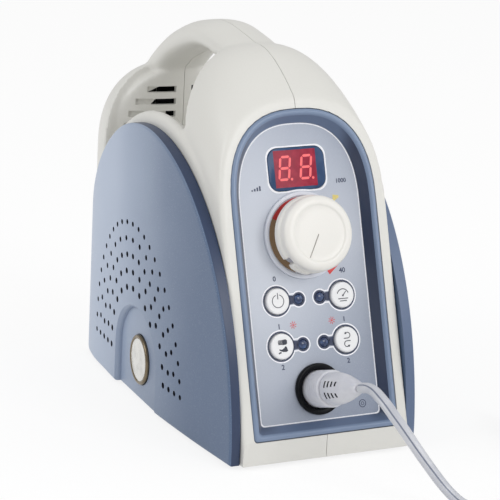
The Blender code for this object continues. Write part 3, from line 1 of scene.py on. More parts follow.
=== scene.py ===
"""Looks of a surgical micromotor: control unit, lead and handpiece on a white studio floor.

Lengths are metres. The unit is drawn in a body frame whose origin lies under the middle of the chin.
Pieces of the control panel use a panel frame: X to the right, Y up the slope, Z out of the panel.
"""
from __future__ import annotations

import logging
from collections.abc import Callable, Iterable, Sequence
from dataclasses import dataclass, field
from enum import Enum
from math import acos, atan2, copysign, cos, exp, pi, radians, sin, sqrt, tan
from typing import Any

import bmesh
import bpy
from mathutils import Matrix, Vector


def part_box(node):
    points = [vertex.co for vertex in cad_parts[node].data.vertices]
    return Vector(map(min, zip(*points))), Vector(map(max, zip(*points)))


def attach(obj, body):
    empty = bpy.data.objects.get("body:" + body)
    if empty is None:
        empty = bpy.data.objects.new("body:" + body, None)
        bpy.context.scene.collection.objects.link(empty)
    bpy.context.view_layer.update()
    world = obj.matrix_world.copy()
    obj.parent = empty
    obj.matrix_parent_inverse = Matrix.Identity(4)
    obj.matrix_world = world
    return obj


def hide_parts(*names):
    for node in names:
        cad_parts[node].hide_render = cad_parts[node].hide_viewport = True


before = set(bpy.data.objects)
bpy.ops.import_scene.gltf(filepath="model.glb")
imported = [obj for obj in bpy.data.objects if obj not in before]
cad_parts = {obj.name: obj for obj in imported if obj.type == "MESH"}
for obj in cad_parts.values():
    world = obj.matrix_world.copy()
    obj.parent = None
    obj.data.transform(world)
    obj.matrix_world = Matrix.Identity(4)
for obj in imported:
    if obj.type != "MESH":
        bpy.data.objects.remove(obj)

log = logging.getLogger("micromotor")

Point2 = tuple[float, float]
Point3 = tuple[float, float, float]
Table = Sequence[tuple[float, ...]]
Colour = tuple[float, float, float, float]
Item = bpy.types.Object

SLOPE = radians(18)
CHIN = 0.0124
BODY = Matrix.Translation((0, -0.111822, 0.002))
PANEL = (
    BODY @ Matrix.Translation((0, -CHIN * sin(SLOPE), CHIN - CHIN * cos(SLOPE)))
    @ Matrix.Rotation(pi / 2 - SLOPE, 4, "X")
)
GAP = 0.0003
PAST = 0.004
PLATE_FACE = -0.0055
WHOLE = (1.0, 1.0, 1.0)


class Axis(Enum):
    """Which way a profile or an outline is carried into space."""

    X = "X"
    Y = "Y"
    Z = "Z"


class Mode(Enum):
    """How two solids are joined."""

    JOIN = "UNION"
    CUT = "DIFFERENCE"
    KEEP = "INTERSECT"


class Repeat(Enum):
    """The small form that a repeating tree sets on each of its points."""

    PIN = "pin"
    BLOCK = "block"


# ---- materials


def paint(red: int, green: int, blue: int, shade: float = 1.0) -> Colour:
    """A screen colour, 0 to 255, as the linear colour that shaders take.

    Args:
        red, green, blue: The colour as it is seen on screen.
        shade: A factor on the linear colour.

    Returns:
        Linear red, green, blue and an alpha of 1.
    """
    line = []
    for part in (red, green, blue):
        level = part / 255
        line.append(shade * (level / 12.92 if level <= 0.04045 else ((level + 0.055) / 1.055) ** 2.4))
    return line[0], line[1], line[2], 1.0


class Wire:
    """A socket of a shader tree that takes part in Python expressions."""

    def __init__(self, tree: ShaderTree, socket: bpy.types.NodeSocket) -> None:
        """Hold a socket of a tree."""
        self.tree, self.socket = tree, socket

    def maths(self, operation: str, *values: Wire | float) -> Wire:
        """Add a Math node over one or two values."""
        return self.tree.add("Math", {"operation": operation}, dict(enumerate(values)))

    def __add__(self, other: Wire | float) -> Wire:
        """Sum."""
        return self.maths("ADD", self, other)

    def __sub__(self, other: Wire | float) -> Wire:
        """Difference."""
        return self.maths("SUBTRACT", self, other)

    def __rsub__(self, other: float) -> Wire:
        """Difference, number first."""
        return self.maths("SUBTRACT", other, self)

    def __mul__(self, other: Wire | float) -> Wire:
        """Product."""
        return self.maths("MULTIPLY", self, other)

    __radd__, __rmul__ = __add__, __mul__

    def __abs__(self) -> Wire:
        """Size without its sign."""
        return self.maths("ABSOLUTE", self)

    def step(self, low: float, high: float) -> Wire:
        """Smooth rise from 0 at low to 1 at high."""
        return self.tree.add("MapRange", {"interpolation_type": "SMOOTHSTEP"},
                             {0: self, 1: low, 2: high, 3: 0.0, 4: 1.0})


class ShaderTree:
    """The node tree of one material, with its Principled shader at hand."""

    def __init__(self, name: str) -> None:
        """Start a material of a name.

        Args:
            name: The material's name.
        """
        self.material = bpy.data.materials.new(name)
        self.material.use_nodes = True
        self.tree = self.material.node_tree
        self.shader = self.tree.nodes["Principled BSDF"]

    def put(self, socket: bpy.types.NodeSocket, value: Any) -> None:
        """Give a socket a link or a constant.

        Args:
            socket: The input.
            value: A wire or a plain value.
        """
        if isinstance(value, Wire):
            self.tree.links.new(value.socket, socket)
        else:
            socket.default_value = value

    def add(self, kind: str, settings: dict[str, Any] | None = None,
            sockets: dict[str | int, Any] | None = None, output: int = 0) -> Wire:
        """Add a shader node.

        Args:
            kind: The node's type, without its ShaderNode prefix.
            settings: Attributes, set before the sockets.
            sockets: Values or wires for its inputs, by name or number.
            output: Which output to return.

        Returns:
            The chosen output.
        """
        node = self.tree.nodes.new("ShaderNode" + kind)
        for key, value in (settings or {}).items():
            setattr(node, key, value)
        for key, value in (sockets or {}).items():
            self.put(node.inputs[key], value)
        return Wire(self, node.outputs[output])

    def place(self) -> Wire:
        """Object coordinates."""
        return self.add("TexCoord", output=3)

    def parts(self) -> list[Wire]:
        """The three Object coordinates, one by one."""
        split = self.add("SeparateXYZ", sockets={0: self.place()})
        return [Wire(self, out) for out in split.socket.node.outputs]

    def stretched(self, scale: Point3) -> Wire:
        """Object coordinates with each axis scaled."""
        return self.add("Mapping", sockets={"Vector": self.place(), "Scale": scale})

    def noise(self, scale: float, detail: float = 2.0, where: Wire | None = None,
              rough: float = 0.5) -> Wire:
        """Cloudy noise about 0.5.

        Args:
            scale: Features for each metre.
            detail: Octaves.
            where: Coordinates, Object ones if None.
            rough: Strength of the finer octaves.

        Returns:
            The noise.
        """
        return self.add("TexNoise", sockets={"Vector": where or self.place(), "Scale": scale,
                                             "Detail": detail, "Roughness": rough})

    def mix(self, factor: Wire | float, low: Any, high: Any) -> Wire:
        """Blend two colours, the factor being the share of the second."""
        return self.add("Mix", {"data_type": "RGBA"}, {0: factor, 6: low, 7: high}, output=2)

    def bump(self, height: Wire, distance: float, strength: float = 1.0) -> None:
        """Let a height field turn the surface's normal."""
        normal = self.add("Bump", sockets={"Strength": strength, "Distance": distance, "Height": height})
        self.put(self.shader.inputs["Normal"], normal)

    def set(self, **values: Any) -> None:
        """Set sockets of the Principled shader, underscores standing for spaces."""
        for key, value in values.items():
            self.put(self.shader.inputs[key.replace("_", " ")], value)


FINISHED: dict[str, bpy.types.Material] = {}


@dataclass(frozen=True)
class Finish:
    """A finish, whose material is made once."""

    name: str
    slot: str

    def dress(self, tree: ShaderTree) -> None:
        """Fill the material's tree."""
        raise NotImplementedError

    def material(self) -> bpy.types.Material:
        """The finish as a material, made on first use.

        Returns:
            The material.
        """
        if self.name not in FINISHED:
            tree = ShaderTree(self.name)
            self.dress(tree)
            FINISHED[self.name] = tree.material
        return FINISHED[self.name]


@dataclass(frozen=True)
class Moulded(Finish):
    """Moulded plastic with a fine spark-eroded grain and faint handling marks."""

    colour: Colour
    tint: Colour
    roughness: float = 0.38
    grain: float = 1100.0
    grain_depth: float = 0.00002
    coat: float = 0.0
    glow: float = 0.0
    shine: float = 0.45

    def dress(self, tree: ShaderTree) -> None:
        """Cloudy tone, rubbed gloss and a leather-fine grain.

        Args:
            tree: The material's tree.
        """
        clouds = tree.noise(9.0, 3.0)
        rubbed = tree.noise(42.0, 4.0, rough=0.6)
        grain = tree.noise(self.grain, 2.0)
        tone = (clouds - 0.5) * 1.4 + (grain - 0.5) * 0.35 + 0.35
        tree.set(
            Base_Color=tree.mix(tone, self.colour, self.tint),
            Roughness=rubbed * 0.16 + (self.roughness - 0.08) + (grain - 0.5) * 0.06,
            Coat_Weight=self.coat, Coat_Roughness=0.18, Specular_IOR_Level=self.shine,
        )
        if self.glow:
            tree.set(Subsurface_Weight=self.glow, Subsurface_Radius=(0.004, 0.0035, 0.003),
                     Subsurface_Scale=1.0)
        tree.bump(grain * 0.7 + tree.noise(self.grain * 2.7, 1.0) * 0.3, self.grain_depth, 0.55)


@dataclass(frozen=True)
class PadPaint(Moulded):
    """Moulded plastic with painted shade, darker towards the front and a little towards the bottom, with
    pearl flakes of its texture.
    """

    # deep: the colour of the painted shade
    deep: Colour = (0.2, 0.3, 0.4, 1.0)

    def dress(self, tree: ShaderTree) -> None:
        """Painted shade that darkens the tone towards the bottom and the front, satin pearl flakes and a
        fine grain.

        Args:
            tree: The material's tree.
        """
        _, along, up = tree.parts()
        clouds = tree.noise(11.0, 3.0)
        flakes = tree.noise(2300.0, 1.0)
        grain = tree.noise(self.grain, 2.0)
        # painted shade: darker towards the front and the bottom, broken up by clouds
        pad_shade = (0.1 - up) * 0.2 + 0.3 - along * 6.5 + (clouds - 0.5) * 0.3
        base = tree.mix(pad_shade.step(-0.25, 0.75), self.colour, self.deep)
        tree.set(
            Base_Color=tree.mix(flakes.step(0.58, 0.8) * 0.3, base, self.tint),
            Roughness=clouds * 0.12 + (self.roughness - 0.06) + (grain - 0.5) * 0.08,
            Coat_Weight=self.coat, Coat_Roughness=0.25, Specular_IOR_Level=0.5,
        )
        tree.bump(grain, self.grain_depth, 0.6)


@dataclass(frozen=True)
class ShadedRimWall(Finish):
    """The rim's inner wall in painted shade: navy at the sides, a darker steel blue where it faces up or
    down the panel.
    """

    side: Colour
    level: Colour

    def dress(self, tree: ShaderTree) -> None:
        """Blend the two painted-shade blues by where the wall stands on the panel.

        Args:
            tree: The material's tree.
        """
        across, _, up = tree.parts()
        clouds = tree.noise(30.0, 3.0)
        share = abs(across).step(0.024, 0.0335) * up.step(0.016, 0.022)
        grain = tree.noise(1500.0, 2.0)
        tree.set(
            Base_Color=tree.mix(share * 0.94 + (clouds - 0.5) * 0.08, self.level, self.side),
            Roughness=clouds * 0.14 + 0.26, Coat_Weight=0.15, Coat_Roughness=0.12,
        )
        tree.bump(grain, 0.00001, 0.5)


@dataclass(frozen=True)
class PanelFilm(Finish):
    """Printed film of the control panel: pale pearl blue with painted shade, lighter towards the left and
    towards the middle height.
    """

    pale: Colour
    deep: Colour

    def dress(self, tree: ShaderTree) -> None:
        """Painted-shade gradient, slanted across the plate, with pearl flakes under a satin film.

        Args:
            tree: The material's tree.
        """
        across, _, up = tree.parts()
        clouds = tree.noise(14.0, 2.0)
        flakes = tree.noise(3200.0, 2.0)
        # painted shade: darker towards the right and away from the middle height
        film_shade = (across * 7.0 + abs(up + -0.107) * 8.0 + (clouds - 0.5) * 0.35 + 0.05).step(-0.25, 1.0)
        base = tree.mix(film_shade, self.pale, self.deep)
        tree.set(
            Base_Color=tree.mix(flakes.step(0.55, 0.8) * 0.25, base, (0.86, 0.88, 0.93, 1.0)),
            Roughness=clouds * 0.1 + 0.3 + (flakes - 0.5) * 0.1, Metallic=flakes.step(0.3, 0.9) * 0.22,
            Coat_Weight=0.12, Coat_Roughness=0.3,
        )
        tree.bump(tree.noise(1700.0, 1.0), 0.000012, 0.5)


@dataclass(frozen=True)
class Ink(Finish):
    """Screen-printed ink with a faint mottle, or lit when it has a strength; also flat colour for painted
    shade.
    """

    colour: Colour
    strength: float = 0.0
    roughness: float = 0.42

    def dress(self, tree: ShaderTree) -> None:
        """Mottled solid ink.

        Args:
            tree: The material's tree.
        """
        mottle = tree.noise(900.0, 3.0)
        worn = tuple(0.82 * c + 0.03 for c in self.colour[:3]) + (1.0,)
        base = tree.mix(mottle.step(0.35, 0.75) * 0.7, self.colour, worn)
        tree.set(Base_Color=base, Roughness=mottle * 0.12 + self.roughness - 0.06)
        if self.strength:
            tree.set(Emission_Color=base, Emission_Strength=self.strength)
        tree.bump(mottle, 0.00001, 0.4)


@dataclass(frozen=True)
class Lens(Finish):
    """Glossy tinted lens that takes its light from a coat and a soft inner tone."""

    colour: Colour
    heart: Colour
    scale: float = 160.0
    shine: float = 0.12

    def dress(self, tree: ShaderTree) -> None:
        """Deep body tone with cloudy light in it.

        Args:
            tree: The material's tree.
        """
        haze = tree.noise(700.0, 3.0)
        tree.set(Base_Color=tree.mix(tree.noise(self.scale, 2.0).step(0.35, 0.75), self.colour, self.heart),
                 Roughness=haze * 0.08 + 0.1, Coat_Weight=self.shine, Coat_Roughness=0.05,
                 Specular_IOR_Level=0.5 * self.shine + 0.05)
        tree.bump(haze, 0.000008, 0.4)


@dataclass(frozen=True)
class Metal(Finish):
    """Metal with fine drawn lines along one direction."""

    colour: Colour
    roughness: float = 0.22
    lines: Point3 = (1600.0, 60.0, 1600.0)
    depth: float = 0.000012

    def dress(self, tree: ShaderTree) -> None:
        """Drawn lines over a cloudy sheen.

        Args:
            tree: The material's tree.
        """
        drawn = tree.noise(1.0, 3.0, tree.stretched(self.lines))
        smears = tree.noise(55.0, 4.0, rough=0.65)
        dark = tuple(0.72 * c for c in self.colour[:3]) + (1.0,)
        tree.set(
            Base_Color=tree.mix(drawn.step(0.3, 0.85) * 0.6, self.colour, dark), Metallic=1.0,
            Roughness=smears * 0.14 + self.roughness - 0.07 + (drawn - 0.5) * 0.1,
        )
        tree.bump(drawn, self.depth, 0.5)


@dataclass(frozen=True)
class Silicone(Finish):
    """Milky flexible moulding of plug, relief and lead."""

    colour: Colour
    tint: Colour
    roughness: float = 0.36

    def dress(self, tree: ShaderTree) -> None:
        """Milky body with soft clouds, a waxy sheen and light under the skin.

        Args:
            tree: The material's tree.
        """
        clouds = tree.noise(70.0, 3.0)
        dust = tree.noise(1400.0, 2.0)
        tone = (clouds - 0.5) * 1.5 + (dust - 0.5) * 0.3 + 0.4
        tree.set(
            Base_Color=tree.mix(tone, self.colour, self.tint),
            Roughness=clouds * 0.14 + self.roughness - 0.07, Coat_Weight=0.2, Coat_Roughness=0.2,
            Subsurface_Weight=0.25, Subsurface_Radius=(0.003, 0.003, 0.0035), Subsurface_Scale=1.0,
        )
        tree.bump(dust, 0.000015, 0.4)


@dataclass(frozen=True)
class CircuitBoard(Finish):
    """Green solder resist over copper tracks."""

    def dress(self, tree: ShaderTree) -> None:
        """Tracks from a brick pattern, pads from cells.

        Args:
            tree: The material's tree.
        """
        black = (0, 0, 0, 1)
        tracks = tree.add("TexBrick", {"offset": 0.5},
                          {"Vector": tree.place(), "Scale": 160.0, "Mortar Size": 0.035, "Color1": black,
                           "Color2": black, "Mortar": (1, 1, 1, 1)}, output=1)
        pads = tree.add("TexVoronoi", sockets={"Vector": tree.place(), "Scale": 260.0}).step(0.12, 0.2)
        resist = tree.mix(tree.noise(40.0, 3.0), (0.012, 0.13, 0.05, 1), (0.02, 0.19, 0.08, 1))
        copper = tree.mix(tracks, resist, (0.05, 0.3, 0.12, 1))
        tree.set(Base_Color=tree.mix(pads, (0.6, 0.6, 0.55, 1), copper), Roughness=pads * 0.2 + 0.3)
        tree.bump(tracks, 0.00004, 0.6)


@dataclass(frozen=True)
class Winding(Finish):
    """Varnished copper wire, wound in level turns, on a laminated core."""

    def dress(self, tree: ShaderTree) -> None:
        """Turns of wire as fine bands.

        Args:
            tree: The material's tree.
        """
        turns = tree.add("TexWave", {"bands_direction": "Z"},
                         {"Vector": tree.place(), "Scale": 260.0, "Distortion": 0.4, "Detail": 2.0},
                         output=1)
        tree.set(Base_Color=tree.mix(turns, (0.22, 0.07, 0.025, 1), (0.55, 0.24, 0.1, 1)), Metallic=0.7,
                 Roughness=tree.noise(60.0, 3.0) * 0.2 + 0.28)
        tree.bump(turns, 0.0001, 0.7)


IVORY = Moulded("ivory_plastic_skin", "ivory_plastic", paint(225, 224, 219), paint(216, 215, 209), 0.38,
                grain=1000.0, grain_depth=0.000018, coat=0.05)
# Dark grey on the inner faces of the housing: painted shade inside.
INSIDE_SHADE = Moulded("ivory_plastic_inside", "ivory_plastic", paint(60, 60, 60), paint(48, 48, 50), 0.6)
# Pad blue; its deep colour is painted shade towards the front and bottom.
PAD = PadPaint("pad_pearl_blue", "pad_plastic", paint(176, 189, 210), paint(192, 203, 219), 0.4,
               grain=1300.0, grain_depth=0.000016, coat=0.08, deep=paint(84, 104, 134))
# Edge walls of the pads: a darker copy in painted shade for the left pad, a lighter copy in painted light
# for the right pad.
PAD_EDGE_SHADED = Moulded("pad_edge_painted_shade", "pad_plastic", paint(50, 65, 95), paint(40, 53, 80), 0.36)
PAD_EDGE_LIT = Moulded("pad_edge_painted_light", "pad_plastic", paint(104, 120, 148), paint(88, 104, 134), 0.36)
# Near-black painted shade for the walls of the perforations and the relief's slots.
HOLE_SHADE = Ink("hole_painted_shade", "pad_plastic", paint(22, 28, 44), roughness=0.6)
RIM = Moulded("rim_steel_blue", "rim_plastic", paint(126, 143, 170), paint(106, 124, 152), 0.32,
              grain=1400.0, grain_depth=0.00001, coat=0.12)
# Rim's inner wall: painted shade, navy at the sides.
RIM_WALL_SHADE = ShadedRimWall("rim_wall_painted_shade", "rim_plastic", paint(38, 49, 74), paint(96, 112, 140))
# Film pearl blue; its deep colour is painted shade.
FILM = PanelFilm("panel_film_pearl", "panel_film", paint(202, 207, 217), paint(136, 145, 163))
GLOSS_BLACK = Moulded("gloss_black", "black_plastic", paint(9, 10, 14), paint(14, 15, 19), 0.3,
                      grain=1700.0, grain_depth=0.000006, coat=0.02, shine=0.12)
MATT_BLACK = Moulded("matt_black", "black_plastic", paint(30, 31, 34), paint(40, 41, 44), 0.5,
                     grain=1200.0, grain_depth=0.00003)
RUBBER = Moulded("foot_rubber", "black_plastic", paint(34, 34, 35), paint(48, 48, 48), 0.72,
                 grain=800.0, grain_depth=0.00006)
KNOB = Moulded("knob_ivory", "white_plastic", paint(236, 234, 229), paint(226, 224, 218), 0.32,
               grain=1500.0, grain_depth=0.000012, coat=0.1, glow=0.04)
BUTTON = Moulded("button_white", "white_plastic", paint(240, 240, 240), paint(230, 231, 234), 0.34,
                 grain=1500.0, grain_depth=0.00001, coat=0.1)
DIAL = Moulded("dial_ring_white", "white_plastic", paint(226, 229, 238), paint(212, 217, 228), 0.34,
               grain=1500.0, grain_depth=0.00001)
MILKY = Silicone("lead_silicone", "cord_silicone", paint(208, 209, 214), paint(178, 181, 190))
# Darker stripe in the lead's grooves: painted shade.
GROOVE_SHADE = Silicone("lead_groove_painted_shade", "cord_silicone", paint(128, 134, 150), paint(102, 110, 130))
PLUG = Silicone("plug_silicone", "cord_silicone", paint(224, 224, 230), paint(190, 192, 200))
BOOT = Silicone("boot_silicone", "cord_silicone", paint(230, 231, 233), paint(214, 216, 219), 0.42)
WINDOW = Lens("window_navy", "red_filter", paint(56, 78, 112), paint(70, 94, 128), 120.0)
FIELD = Lens("filter_red", "red_filter", paint(146, 28, 54), paint(166, 38, 64), 260.0)
DIGITS = Ink("digit_glow", "red_filter", paint(226, 88, 92), 0.4, 0.3)
LED = Lens("lamp_navy", "lamp_lens", paint(40, 54, 88), paint(78, 100, 140), 420.0, 0.5)
INK_NAVY = Ink("print_navy", "panel_film", paint(52, 62, 92))
INK_DARK = Ink("print_dark", "panel_film", paint(38, 50, 82))
INK_WHITE = Ink("print_white", "panel_film", paint(246, 247, 252))
INK_RED = Ink("print_red", "panel_film", paint(214, 56, 56))
INK_YELLOW = Ink("print_yellow", "panel_film", paint(222, 204, 120))
# Tan: the dial band's gold print with the knob's shadow painted in.
INK_GOLD_SHADOW = Ink("print_tan", "panel_film", paint(160, 132, 100))
INK_ICON = Ink("print_icon", "white_plastic", paint(34, 40, 56))
CHROME = Metal("badge_chrome", "steel", paint(222, 221, 216), 0.2, (240.0, 240.0, 240.0), 0.000002)
BEAD = Metal("badge_bead", "steel", paint(124, 112, 92), 0.24, (240.0, 240.0, 240.0), 0.000002)
POINTER = Ink("pointer_grey", "white_plastic", paint(176, 172, 166))
STEEL = Metal("brushed_steel", "steel", paint(190, 193, 198), 0.26)
TURNED = Metal("turned_steel", "steel", paint(186, 188, 192), 0.24, (90.0, 2600.0, 90.0), 0.00001)
PLATE_STEEL = Metal("plate_steel", "steel", paint(176, 178, 182), 0.32, (60.0, 1500.0, 1500.0))
BOARD = CircuitBoard("board_green", "circuit_board")
COPPER = Winding("winding_copper", "copper_winding")


# ---- mesh making


def smooth_value(table: Table, x: float) -> float:
    """Cubic interpolation through a table of (place, value) rows.

    Args:
        table: Rows in order of their place.
        x: Where to read it.

    Returns:
        The value there.
    """
    k = max(i for i in range(len(table) - 1) if i == 0 or table[i][0] <= x)
    (x0, y0), (x1, y1) = table[k], table[k + 1]
    before = table[k - 1] if k > 0 else table[k]
    after = table[k + 2] if k + 2 < len(table) else table[k + 1]
    width = x1 - x0
    slope0 = (y1 - before[1]) / (x1 - before[0])
    slope1 = (after[1] - y0) / (after[0] - x0)
    t = min(max((x - x0) / width, 0), 1)
    return (
        (2 * t**3 - 3 * t**2 + 1) * y0 + (t**3 - 2 * t**2 + t) * width * slope0
        + (3 * t**2 - 2 * t**3) * y1 + (t**3 - t**2) * width * slope1
    )


def smoothstep(t: float) -> float:
    """Zero to one with flat ends."""
    t = min(max(t, 0), 1)
    return t * t * (3 - 2 * t)


def rounding(radius: float, height: float, size: float, first: float, count: int) -> list[Point2]:
    """Profile points of a rounded edge, from its wall up to its top."""
    return [(radius - size * (1 - cos(t)), height - size * (1 - sin(t)))
            for t in spread(first, pi / 2, count)]


def spread(low: float, high: float, count: int) -> list[float]:
    """Even places from low to high, both ends included."""
    return [low + (high - low) * k / (count - 1) for k in range(count)]


def angles(count: int) -> list[float]:
    """Even angles of a whole turn."""
    return [2 * pi * k / count for k in range(count)]


def at(x: float, y: float, z: float) -> Matrix:
    """A shift to a place."""
    return Matrix.Translation((x, y, z))


def arch(
    half: float, foot: float, spring: float, rise: float, power: float, steps: int = 10
) -> list[Point2]:
    """Outline of an arch, from its right foot over the crown to its left foot.

    Args:
        half: Half width.
        foot: Height of its feet.
        spring: Height at which it starts to curve.
        rise: Height of the curve over the spring.
        power: Power of the superellipse.
        steps: Points on each quarter.

    Returns:
        Points (across, up).
    """
    right = [(half, foot)]
    for k in range(steps):
        turn = pi / 2 * k / steps
        right.append((half * cos(turn) ** (2 / power), spring + rise * sin(turn) ** (2 / power)))
    return right + [(0.0, spring + rise)] + [(-u, v) for u, v in reversed(right)]


def circle(radius: float, steps: int, centre: Point2 = (0.0, 0.0), first: float = 0.0,
           last: float = 2 * pi) -> list[Point2]:
    """Points on a circle or an arc of it.

    Args:
        radius: Its radius.
        steps: How many points.
        centre: Its middle.
        first, last: Its ends, as angles.

    Returns:
        The points, without the last one of a whole turn.
    """
    whole = abs(last - first - 2 * pi) < 1e-6
    count = steps if whole else steps - 1
    return [(centre[0] + radius * cos(first + (last - first) * k / count),
             centre[1] + radius * sin(first + (last - first) * k / count)) for k in range(steps)]


class Maker:
    """Makes plain meshes and joins them. All objects sit at the origin, unturned."""

    @staticmethod
    def link(name: str, data: bpy.types.ID, place: Matrix | None = None) -> Item:
        """Link a mesh, a curve, a lamp or a camera.

        Args:
            name: The object's name.
            data: What it shows.
            place: Its matrix.

        Returns:
            The object.
        """
        item = bpy.data.objects.new(name, data)
        if place is not None:
            item.matrix_world = place
        bpy.context.scene.collection.objects.link(item)
        return item

    @staticmethod
    def wrap(name: str, bm: bmesh.types.BMesh, place: Matrix | None = None) -> Item:
        """Turn a bmesh into a linked object with its faces pointing out.

        Args:
            name: The object's name.
            bm: The bmesh, which is freed.
            place: Matrix for the points.

        Returns:
            The object.
        """
        if place is not None:
            bm.transform(place)
        bmesh.ops.recalc_face_normals(bm, faces=bm.faces)
        mesh = bpy.data.meshes.new(name)
        bm.to_mesh(mesh)
        bm.free()
        return Maker.link(name, mesh)

    @staticmethod
    def loft(name: str, rings: Iterable[Iterable[Point3]], place: Matrix | None = None,
             closed: bool = False, caps: bool = True) -> Item:
        """A skin over rings of equal point counts.

        Args:
            name: The object's name.
            rings: The sections.
            place: Matrix for the points.
            closed: True to join the last ring to the first.
            caps: True to close both ends.

        Returns:
            The object.
        """
        bm = bmesh.new()
        rows = [[bm.verts.new(point) for point in ring] for ring in rings]
        count = len(rows[0])
        for low, high in zip(rows, rows[1:] + rows[:1] if closed else rows[1:]):
            for k in range(count):
                bm.faces.new((low[k], low[(k + 1) % count], high[(k + 1) % count], high[k]))
        if caps and not closed:
            bm.faces.new(list(reversed(rows[0])))
            bm.faces.new(rows[-1])
        return Maker.wrap(name, bm, place)

    @staticmethod
    def prism(name: str, outline: Sequence[Point2], low: float, high: float, axis: Axis = Axis.Z,
              place: Matrix | None = None) -> Item:
        """A straight solid over a flat outline, between two places on its axis."""
        rows = [[(a, c, b) if axis is Axis.Y else (a, b, c) for a, b in outline] for c in (low, high)]
        return Maker.loft(name, rows, place)

    @staticmethod
    def turned(name: str, profile: Sequence[Point2], place: Matrix | None = None, steps: int = 72,
               axis: Axis = Axis.Z) -> Item:
        """A solid of revolution from (radius, height) points.

        Args:
            name: The object's name.
            profile: Points, from the axis back to the axis or closed on itself.
            place: Matrix for the points.
            steps: Points round the axis.
            axis: The axis it turns about.

        Returns:
            The object.
        """
        bm = bmesh.new()
        points = [bm.verts.new((radius, 0, height)) for radius, height in profile]
        edges = [bm.edges.new(pair) for pair in zip(points, points[1:])]
        bmesh.ops.spin(bm, geom=points + edges, axis=(0, 0, 1), cent=(0, 0, 0), steps=steps,
                       angle=2 * pi, use_merge=True)
        bmesh.ops.remove_doubles(bm, verts=bm.verts, dist=0.00001)
        turn = {Axis.Z: Matrix.Identity(4), Axis.Y: Matrix.Rotation(-pi / 2, 4, "X"),
                Axis.X: Matrix.Rotation(pi / 2, 4, "Y")}[axis]
        return Maker.wrap(name, bm, (place or Matrix.Identity(4)) @ turn)

    @staticmethod
    def boxes(name: str, corners: Iterable[tuple[Point3, Point3]],
              place: Matrix | None = None) -> Item:
        """Boxes between pairs of corners, in one object.

        Args:
            name: The object's name.
            corners: Low and high corner of each box.
            place: Matrix for the points.

        Returns:
            The object.
        """
        bm = bmesh.new()
        for low, high in corners:
            size = [b - a for a, b in zip(low, high)]
            middle = [(a + b) / 2 for a, b in zip(low, high)]
            bmesh.ops.create_cube(bm, size=1.0, matrix=at(*middle) @ Matrix.Diagonal((*size, 1)))
        return Maker.wrap(name, bm, place)

    @staticmethod
    def evaluated(item: Item) -> bpy.types.Mesh:
        """An object's mesh with its modifiers applied."""
        bpy.context.view_layer.update()
        graph = bpy.context.evaluated_depsgraph_get()
        return bpy.data.meshes.new_from_object(item.evaluated_get(graph), depsgraph=graph)

    @staticmethod
    def bake(item: Item) -> Item:
        """Apply an object's modifiers to a new mesh and drop them.

        Args:
            item: The object.

        Returns:
            The same object.
        """
        mesh = Maker.evaluated(item)
        item.modifiers.clear()
        item.data = mesh
        return item

    @staticmethod
    def combine(item: Item, mode: Mode, *others: Item) -> Item:
        """Join an object with others by exact Booleans.

        Args:
            item: The object.
            mode: How they are joined.
            others: The others, in order, which are removed.

        Returns:
            The same object.
        """
        for other in others:
            modifier = item.modifiers.new(mode.value.lower(), "BOOLEAN")
            modifier.operation, modifier.solver = mode.value, "EXACT"
            modifier.material_mode, modifier.object = "TRANSFER", other
        Maker.bake(item)
        for other in others:
            bpy.data.objects.remove(other, do_unlink=True)
        return item

    @staticmethod
    def soften(item: Item, width: float, segments: int = 2, angle: float = 30.0) -> Item:
        """Round the edges that are sharper than an angle in degrees.

        Args:
            item: The object.
            width: Width of the rounding.
            segments: Faces across it.
            angle: Degrees from which an edge counts as sharp.

        Returns:
            The same object.
        """
        bevel = item.modifiers.new("edge", "BEVEL")
        bevel.width, bevel.segments, bevel.angle_limit = width, segments, radians(angle)
        bevel.limit_method, bevel.use_clamp_overlap = "ANGLE", True
        return Maker.bake(item)

    @staticmethod
    def shade(item: Item, angle: float = 35.0) -> Item:
        """Smooth shading with creases from an angle on."""
        item.data.shade_smooth()
        item.data.set_sharp_from_angle(angle=radians(angle))
        return item

    @staticmethod
    def copy(node: str, name: str, width: float = 0.0003) -> Item:
        """A copy of a CAD node with its triangles merged and its edges rounded.

        Args:
            node: The CAD node.
            name: Name of the copy.
            width: Width of the rounding, 0 for none.

        Returns:
            The copy.
        """
        bm = bmesh.new()
        bm.from_mesh(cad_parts[node].data)
        bmesh.ops.remove_doubles(bm, verts=bm.verts, dist=0.00001)
        bmesh.ops.dissolve_limit(bm, angle_limit=radians(2), verts=bm.verts, edges=bm.edges)
        item = Maker.wrap(name, bm)
        if width:
            Maker.soften(item, width)
        return Maker.shade(item)

    @staticmethod
    def mirror(item: Item, name: str) -> Item:
        """The same mesh on the other side of the middle plane.

        Args:
            item: The object.
            name: Name of its twin.

        Returns:
            The twin.
        """
        mesh = item.data.copy()
        mesh.transform(Matrix.Scale(-1, 4, (1, 0, 0)))
        mesh.flip_normals()
        return Maker.link(name, mesh)

    @staticmethod
    def coat(item: Item, *finishes: Finish) -> Item:
        """Give an object its material slots.

        Args:
            item: The object.
            finishes: Its finishes, in order.

        Returns:
            The same object.
        """
        item.data.materials.clear()
        for finish in finishes:
            item.data.materials.append(finish.material())
        return item

    @staticmethod
    def deliver(item: Item, finish: Finish, body: str = "unit", replaces: Sequence[str] = (),
                coat: bool = True) -> Item:
        """Dress a piece, let it ride on its body and hide the nodes that it stands for.

        Args:
            item: The piece.
            finish: Its finish, whose slot it takes.
            body: The body that it rides on.
            replaces: The CAD nodes that it replaces.
            coat: False where the piece has its materials already.

        Returns:
            The piece.
        """
        if coat:
            Maker.coat(item, finish)
        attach(item, body)
        if replaces:
            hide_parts(*replaces)
        log.info("%s: %d faces, rides on %s", item.name, len(item.data.polygons), body)
        return item

    @staticmethod
    def dress_copy(node: str, name: str, width: float, finish: Finish, body: str = "unit") -> None:
        """Put a dressed copy of a CAD node, its edges rounded to a width, in the node's stead."""
        Maker.deliver(Maker.copy(node, name, width), finish, body, (node,))


